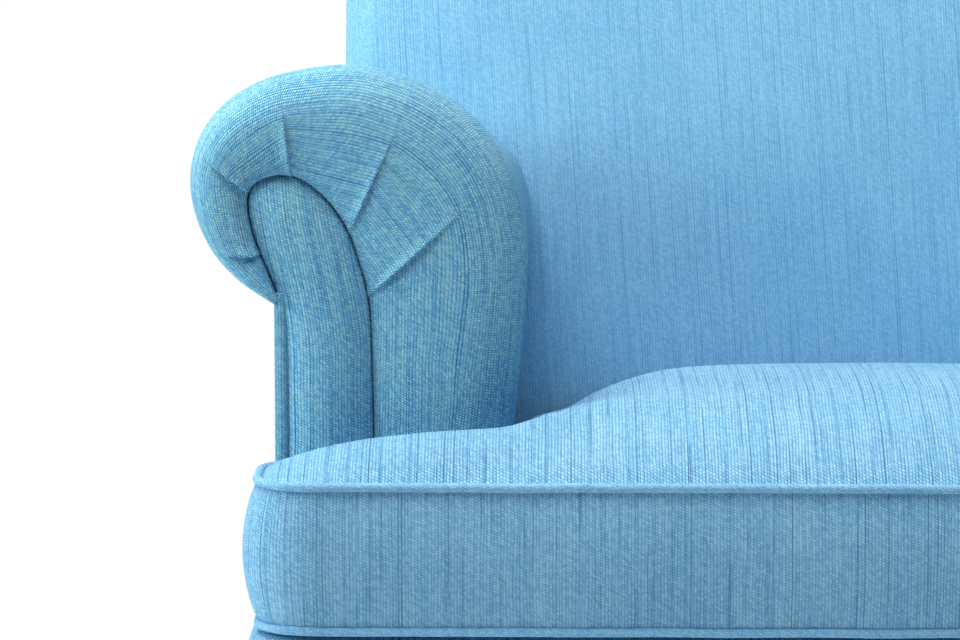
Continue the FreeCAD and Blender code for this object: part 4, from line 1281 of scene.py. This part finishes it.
# %% [markdown]
# The dust cover is a thin black cloth stapled under the rails. Between its staples the edge sags in small
# scallops, and the middle hangs a little. It is cut out round the legs, so the grid leaves those squares out.

# %% Dust cover
def felt(name, dark, light):
    n = Nodes(name)
    place = n.node("ShaderNodeTexCoord").outputs["Object"]
    fibres = n.noise(place, scale=700.0, detail=4.0, roughness=0.75)
    clumps = n.noise(place, scale=60.0, detail=3.0)
    tone = n.math("MULTIPLY_ADD", clumps, 0.5, n.math("MULTIPLY", fibres, 0.5))
    return n.finish(n.blend(tone, dark, light), fibres, bump=0.4, depth=0.0002, Roughness=0.95)


dust_cloth = felt("black_bottom_cloth", (0.010, 0.010, 0.012), (0.050, 0.050, 0.055))
STAPLE_PITCH = 38.0
NOTCH_HALF, REAR_NOTCH = 352.0, 549.0


def dust_piece():
    low, high = span("dust_cover")
    leg_high = span("front_leg_left")[1]
    notch_x = min(abs(leg_high[0]), NOTCH_HALF)
    front_notch = leg_high[1] + 3
    xs = sorted({-notch_x, notch_x} | {mix(low[0], high[0], i / 56) for i in range(57)})
    ys = sorted({front_notch, REAR_NOTCH} | {mix(low[1], high[1], i / 42) for i in range(43)})
    rows, cloth = [], []
    for y in ys:
        row = []
        for x in xs:
            edge = min(x - low[0], high[0] - x, y - low[1], high[1] - y)
            scallop = 1.6 * abs(math.sin(math.pi * (x + y) / STAPLE_PITCH)) * (1 - smoothstep(0, 45, edge))
            sag = 3.5 * smoothstep(0, 220, edge)
            row.append(at(x, y, high[2] - 0.6 - scallop - sag))
        rows.append(row)
        cloth.append([(x * MM, y * MM) for x in xs])
    verts, faces, lengths = grid_mesh(rows, cloth)
    kept = []
    for f, pairs in zip(faces, lengths):
        x = sum(p[0] for p in pairs) / 4 / MM
        y = sum(p[1] for p in pairs) / 4 / MM
        if not (abs(x) > notch_x and (y < front_notch or y > REAR_NOTCH)):
            kept.append((f[::-1], pairs[::-1]))
    piece = new_piece("dust_cloth", verts, [f for f, _ in kept], [p for _, p in kept], dust_cloth, "chair",
                      "dust_cloth")
    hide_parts("dust_cover")
    return piece


dust = dust_piece()
print("dust cloth faces", len(dust.data.polygons))

# %% [markdown]
# ## Finishes for the hard parts
# The frame, springs and legs keep their CAD meshes. Each wood is a stretched noise for the pores, over growth
# rings that a sine draws from a slower noise. A wood image would show a nicer single board, but it would
# repeat on each rail. The legs get the same grain under a dark stain and satin lacquer.

# %% Woods
def wood(name, pale, dark, along, rough=0.6, coat=0.0):
    """A timber whose grain runs along one axis (0, 1 or 2)."""
    n = Nodes(name)
    place = n.node("ShaderNodeTexCoord").outputs["Object"]
    stretch = n.node("ShaderNodeMapping")
    n.feed(place, stretch.inputs["Vector"])
    stretch.inputs["Scale"].default_value = [4.0 if k == along else 60.0 for k in range(3)]
    bend = n.noise(stretch.outputs[0], scale=0.5, detail=2.0)
    ring = n.math("SINE", n.math("MULTIPLY", bend, 46.0))
    pores = n.noise(stretch.outputs[0], scale=9.0, detail=4.0, roughness=0.7)
    tone = n.math("MULTIPLY_ADD", pores, 0.7, n.math("MULTIPLY_ADD", ring, 0.16, 0.1))
    return n.finish(n.blend(tone, pale, dark), pores, bump=0.25, depth=0.0003, Roughness=rough,
                    Coat_Weight=coat, Coat_Roughness=0.18)


def assign(nodes, material):
    """Gives CAD nodes a finish."""
    for node in nodes:
        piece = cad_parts[node]
        piece.data.materials.clear()
        piece.data.materials.append(material)


beech = [wood(f"beech_{'xyz'[k]}", (0.60, 0.40, 0.23), (0.38, 0.22, 0.11), k) for k in range(3)]
stained = wood("stained_leg", (0.105, 0.042, 0.018), (0.030, 0.012, 0.006), 2, rough=0.38, coat=0.6)
assign(["front_seat_rail", "rear_seat_rail", "crest_rail", "lower_back_rail", "corner_blocks_front",
        "corner_blocks_rear"], beech[0])
assign(["side_seat_rail_left", "side_seat_rail_right", "arm_rail_left", "arm_rail_right",
        "arm_tuck_rail_left", "arm_tuck_rail_right", "spring_brace"], beech[1])
assign(["back_post_left", "back_post_right", "arm_stump_left", "arm_stump_right", "frame_dowels",
        "arm_facing_board_left", "arm_facing_board_right"], beech[2])
assign(["front_leg_left", "front_leg_right", "rear_leg_left", "rear_leg_right"], stained)
print("woods assigned")

# %% [markdown]
# Metals get uneven wear in their roughness, cloths their plain weave, and the nylon glides a faint moulded
# grain. These parts are small or hidden, but a lifted cushion or a look from below still shows them.

# %% Metals, linings and plastic
def metal(name, colour, rough):
    n = Nodes(name)
    place = n.node("ShaderNodeTexCoord").outputs["Object"]
    wear = n.noise(place, scale=140.0, detail=4.0, roughness=0.65)
    tone = n.blend(n.step(wear, 0.35, 0.7), tuple(c * 0.72 for c in colour), colour)
    made = n.finish(tone, wear, bump=0.15, depth=0.0002, Metallic=1.0)
    n.feed(n.math("MULTIPLY_ADD", wear, 0.25, rough - 0.12), n.shader.inputs["Roughness"])
    return made


def moulded(name, dark, light):
    n = Nodes(name)
    place = n.node("ShaderNodeTexCoord").outputs["Object"]
    grain = n.noise(place, scale=1600.0, detail=2.0)
    return n.finish(n.blend(grain, dark, light), grain, bump=0.3, depth=0.0001, Roughness=0.5)


assign(["seat_springs", "spring_tie_wires"], metal("spring_wire", (0.28, 0.28, 0.30), 0.42))
assign(["spring_clips", "frame_screws", "leg_bolts"], metal("zinc_plate", (0.62, 0.62, 0.60), 0.36))
assign(["zip_slider"], metal("nickel_slider", (0.66, 0.66, 0.68), 0.26))
assign(["foot_glides"], moulded("nylon_glide", (0.030, 0.028, 0.026), (0.075, 0.070, 0.066)))
assign(["cushion_zip"], plain_weave("zip_coil", (0.09, 0.24, 0.38), (0.20, 0.44, 0.62), 1.4))
assign(["deck_hessian", "arm_hessian", "back_hessian"],
       plain_weave("jute_hessian", (0.20, 0.13, 0.065), (0.46, 0.34, 0.19), 2.4))
assign(["arm_webbing", "back_webbing"],
       plain_weave("jute_webbing", (0.16, 0.11, 0.06), (0.42, 0.33, 0.20), 3.2))
print("metals and linings assigned")

# %% [markdown]
# ## Floor, light and camera
# The floor is a plain pale sheet that ends a little behind the chair, where the white world takes over, so
# no horizon shows. Four large soft lamps light the chair: a warm one overhead, a cooler one at the left, a
# very weak fill in front, and one behind for a look at the rear. Tops are bright, fronts darker, and the
# corners between arm, back and seat fall into shade. A bright world alone would fill those corners, so what
# the world gives as light is bluish and much weaker than the white that the camera sees behind the chair.

# %% Floor
def floor_piece():
    wide, ahead, behind = 2.4, -2.6, 1.0
    mesh = bpy.data.meshes.new("floor")
    corners = [(-wide, ahead, 0), (wide, ahead, 0), (wide, behind, 0), (-wide, behind, 0)]
    mesh.from_pydata(corners, [], [(0, 1, 2, 3)])
    n = Nodes("pale_floor")
    grain = n.noise(n.node("ShaderNodeTexCoord").outputs["Object"], scale=3.0, detail=2.0)
    mesh.materials.append(n.finish(n.blend(grain, (0.93, 0.93, 0.93), (0.96, 0.96, 0.96)), Roughness=0.9))
    made = bpy.data.objects.new("floor", mesh)
    bpy.context.scene.collection.objects.link(made)
    return made


floor = floor_piece()
print("floor laid")


# %% Lights
def soft_light(name, place, target, size, watts, colour=(1.0, 1.0, 1.0)):
    """A flat lamp of that size in metres, turned towards its target."""
    lamp = bpy.data.lights.new(name, "AREA")
    lamp.shape, lamp.size, lamp.size_y = "RECTANGLE", size[0], size[1]
    lamp.energy, lamp.color = watts, colour
    made = bpy.data.objects.new(name, lamp)
    bpy.context.scene.collection.objects.link(made)
    made.location = place
    made.rotation_euler = (Vector(target) - Vector(place)).to_track_quat("-Z", "Y").to_euler()
    return made


KEY, SIDE, FRONT, REAR, AMBIENT = 128.0, 72.0, 1.5, 55.0, 0.09
AIM = (-0.1, 0.1, 0.5)
soft_light("overhead_key", (-0.7, -0.35, 3.0), AIM, (2.4, 2.0), KEY, (1.0, 0.93, 0.87))
soft_light("left_side", (-3.2, -0.6, 1.6), AIM, (1.6, 1.6), SIDE, (0.84, 1.0, 1.0))
soft_light("front_fill", (-1.4, -4.2, 2.2), AIM, (2.0, 1.6), FRONT, (0.6, 0.8, 1.0))
soft_light("rear_fill", (1.6, 3.4, 1.9), AIM, (2.0, 1.6), REAR)


def studio_world():
    """White behind the chair for the camera, and a weaker light for everything else."""
    world = bpy.data.worlds.new("studio")
    world.use_nodes = True
    tree = world.node_tree
    background = tree.nodes["Background"]
    seen = tree.nodes.new("ShaderNodeLightPath").outputs["Is Camera Ray"]
    colour = tree.nodes.new("ShaderNodeMix")
    colour.data_type = "RGBA"
    colour.inputs[6].default_value = (0.40 * AMBIENT, 0.62 * AMBIENT, AMBIENT, 1.0)
    colour.inputs[7].default_value = (1.0, 1.0, 1.0, 1.0)
    tree.links.new(seen, colour.inputs[0])
    tree.links.new(colour.outputs[2], background.inputs["Color"])
    return world


bpy.context.scene.world = studio_world()
print("lights set")

# %% [markdown]
# The camera stands well back with a long lens and looks down by a few degrees at the left arm. From close
# by, a wide lens would show more of the chair, but it would bend the arm's scroll out of its true
# proportions.

# %% Camera
CAMERA_AHEAD, CAMERA_X, CAMERA_Z = 2650.0, -259.0, 933.0
PITCH, YAW = 8.0, 0.8
camera_data = bpy.data.cameras.new("camera")
camera_data.lens = 150.6
camera_data.sensor_width = 36.0
camera_data.clip_end = 100.0
camera = bpy.data.objects.new("camera", camera_data)
bpy.context.scene.collection.objects.link(camera)
camera.location = at(CAMERA_X, -CAMERA_AHEAD, CAMERA_Z)
camera.rotation_euler = (math.radians(90 - PITCH), 0.0, math.radians(YAW))
bpy.context.scene.camera = camera
bpy.context.scene.view_settings.view_transform = "Standard"
print("camera at", [round(v, 3) for v in camera.location])

# %% [markdown]

# %% End
print("scene built")
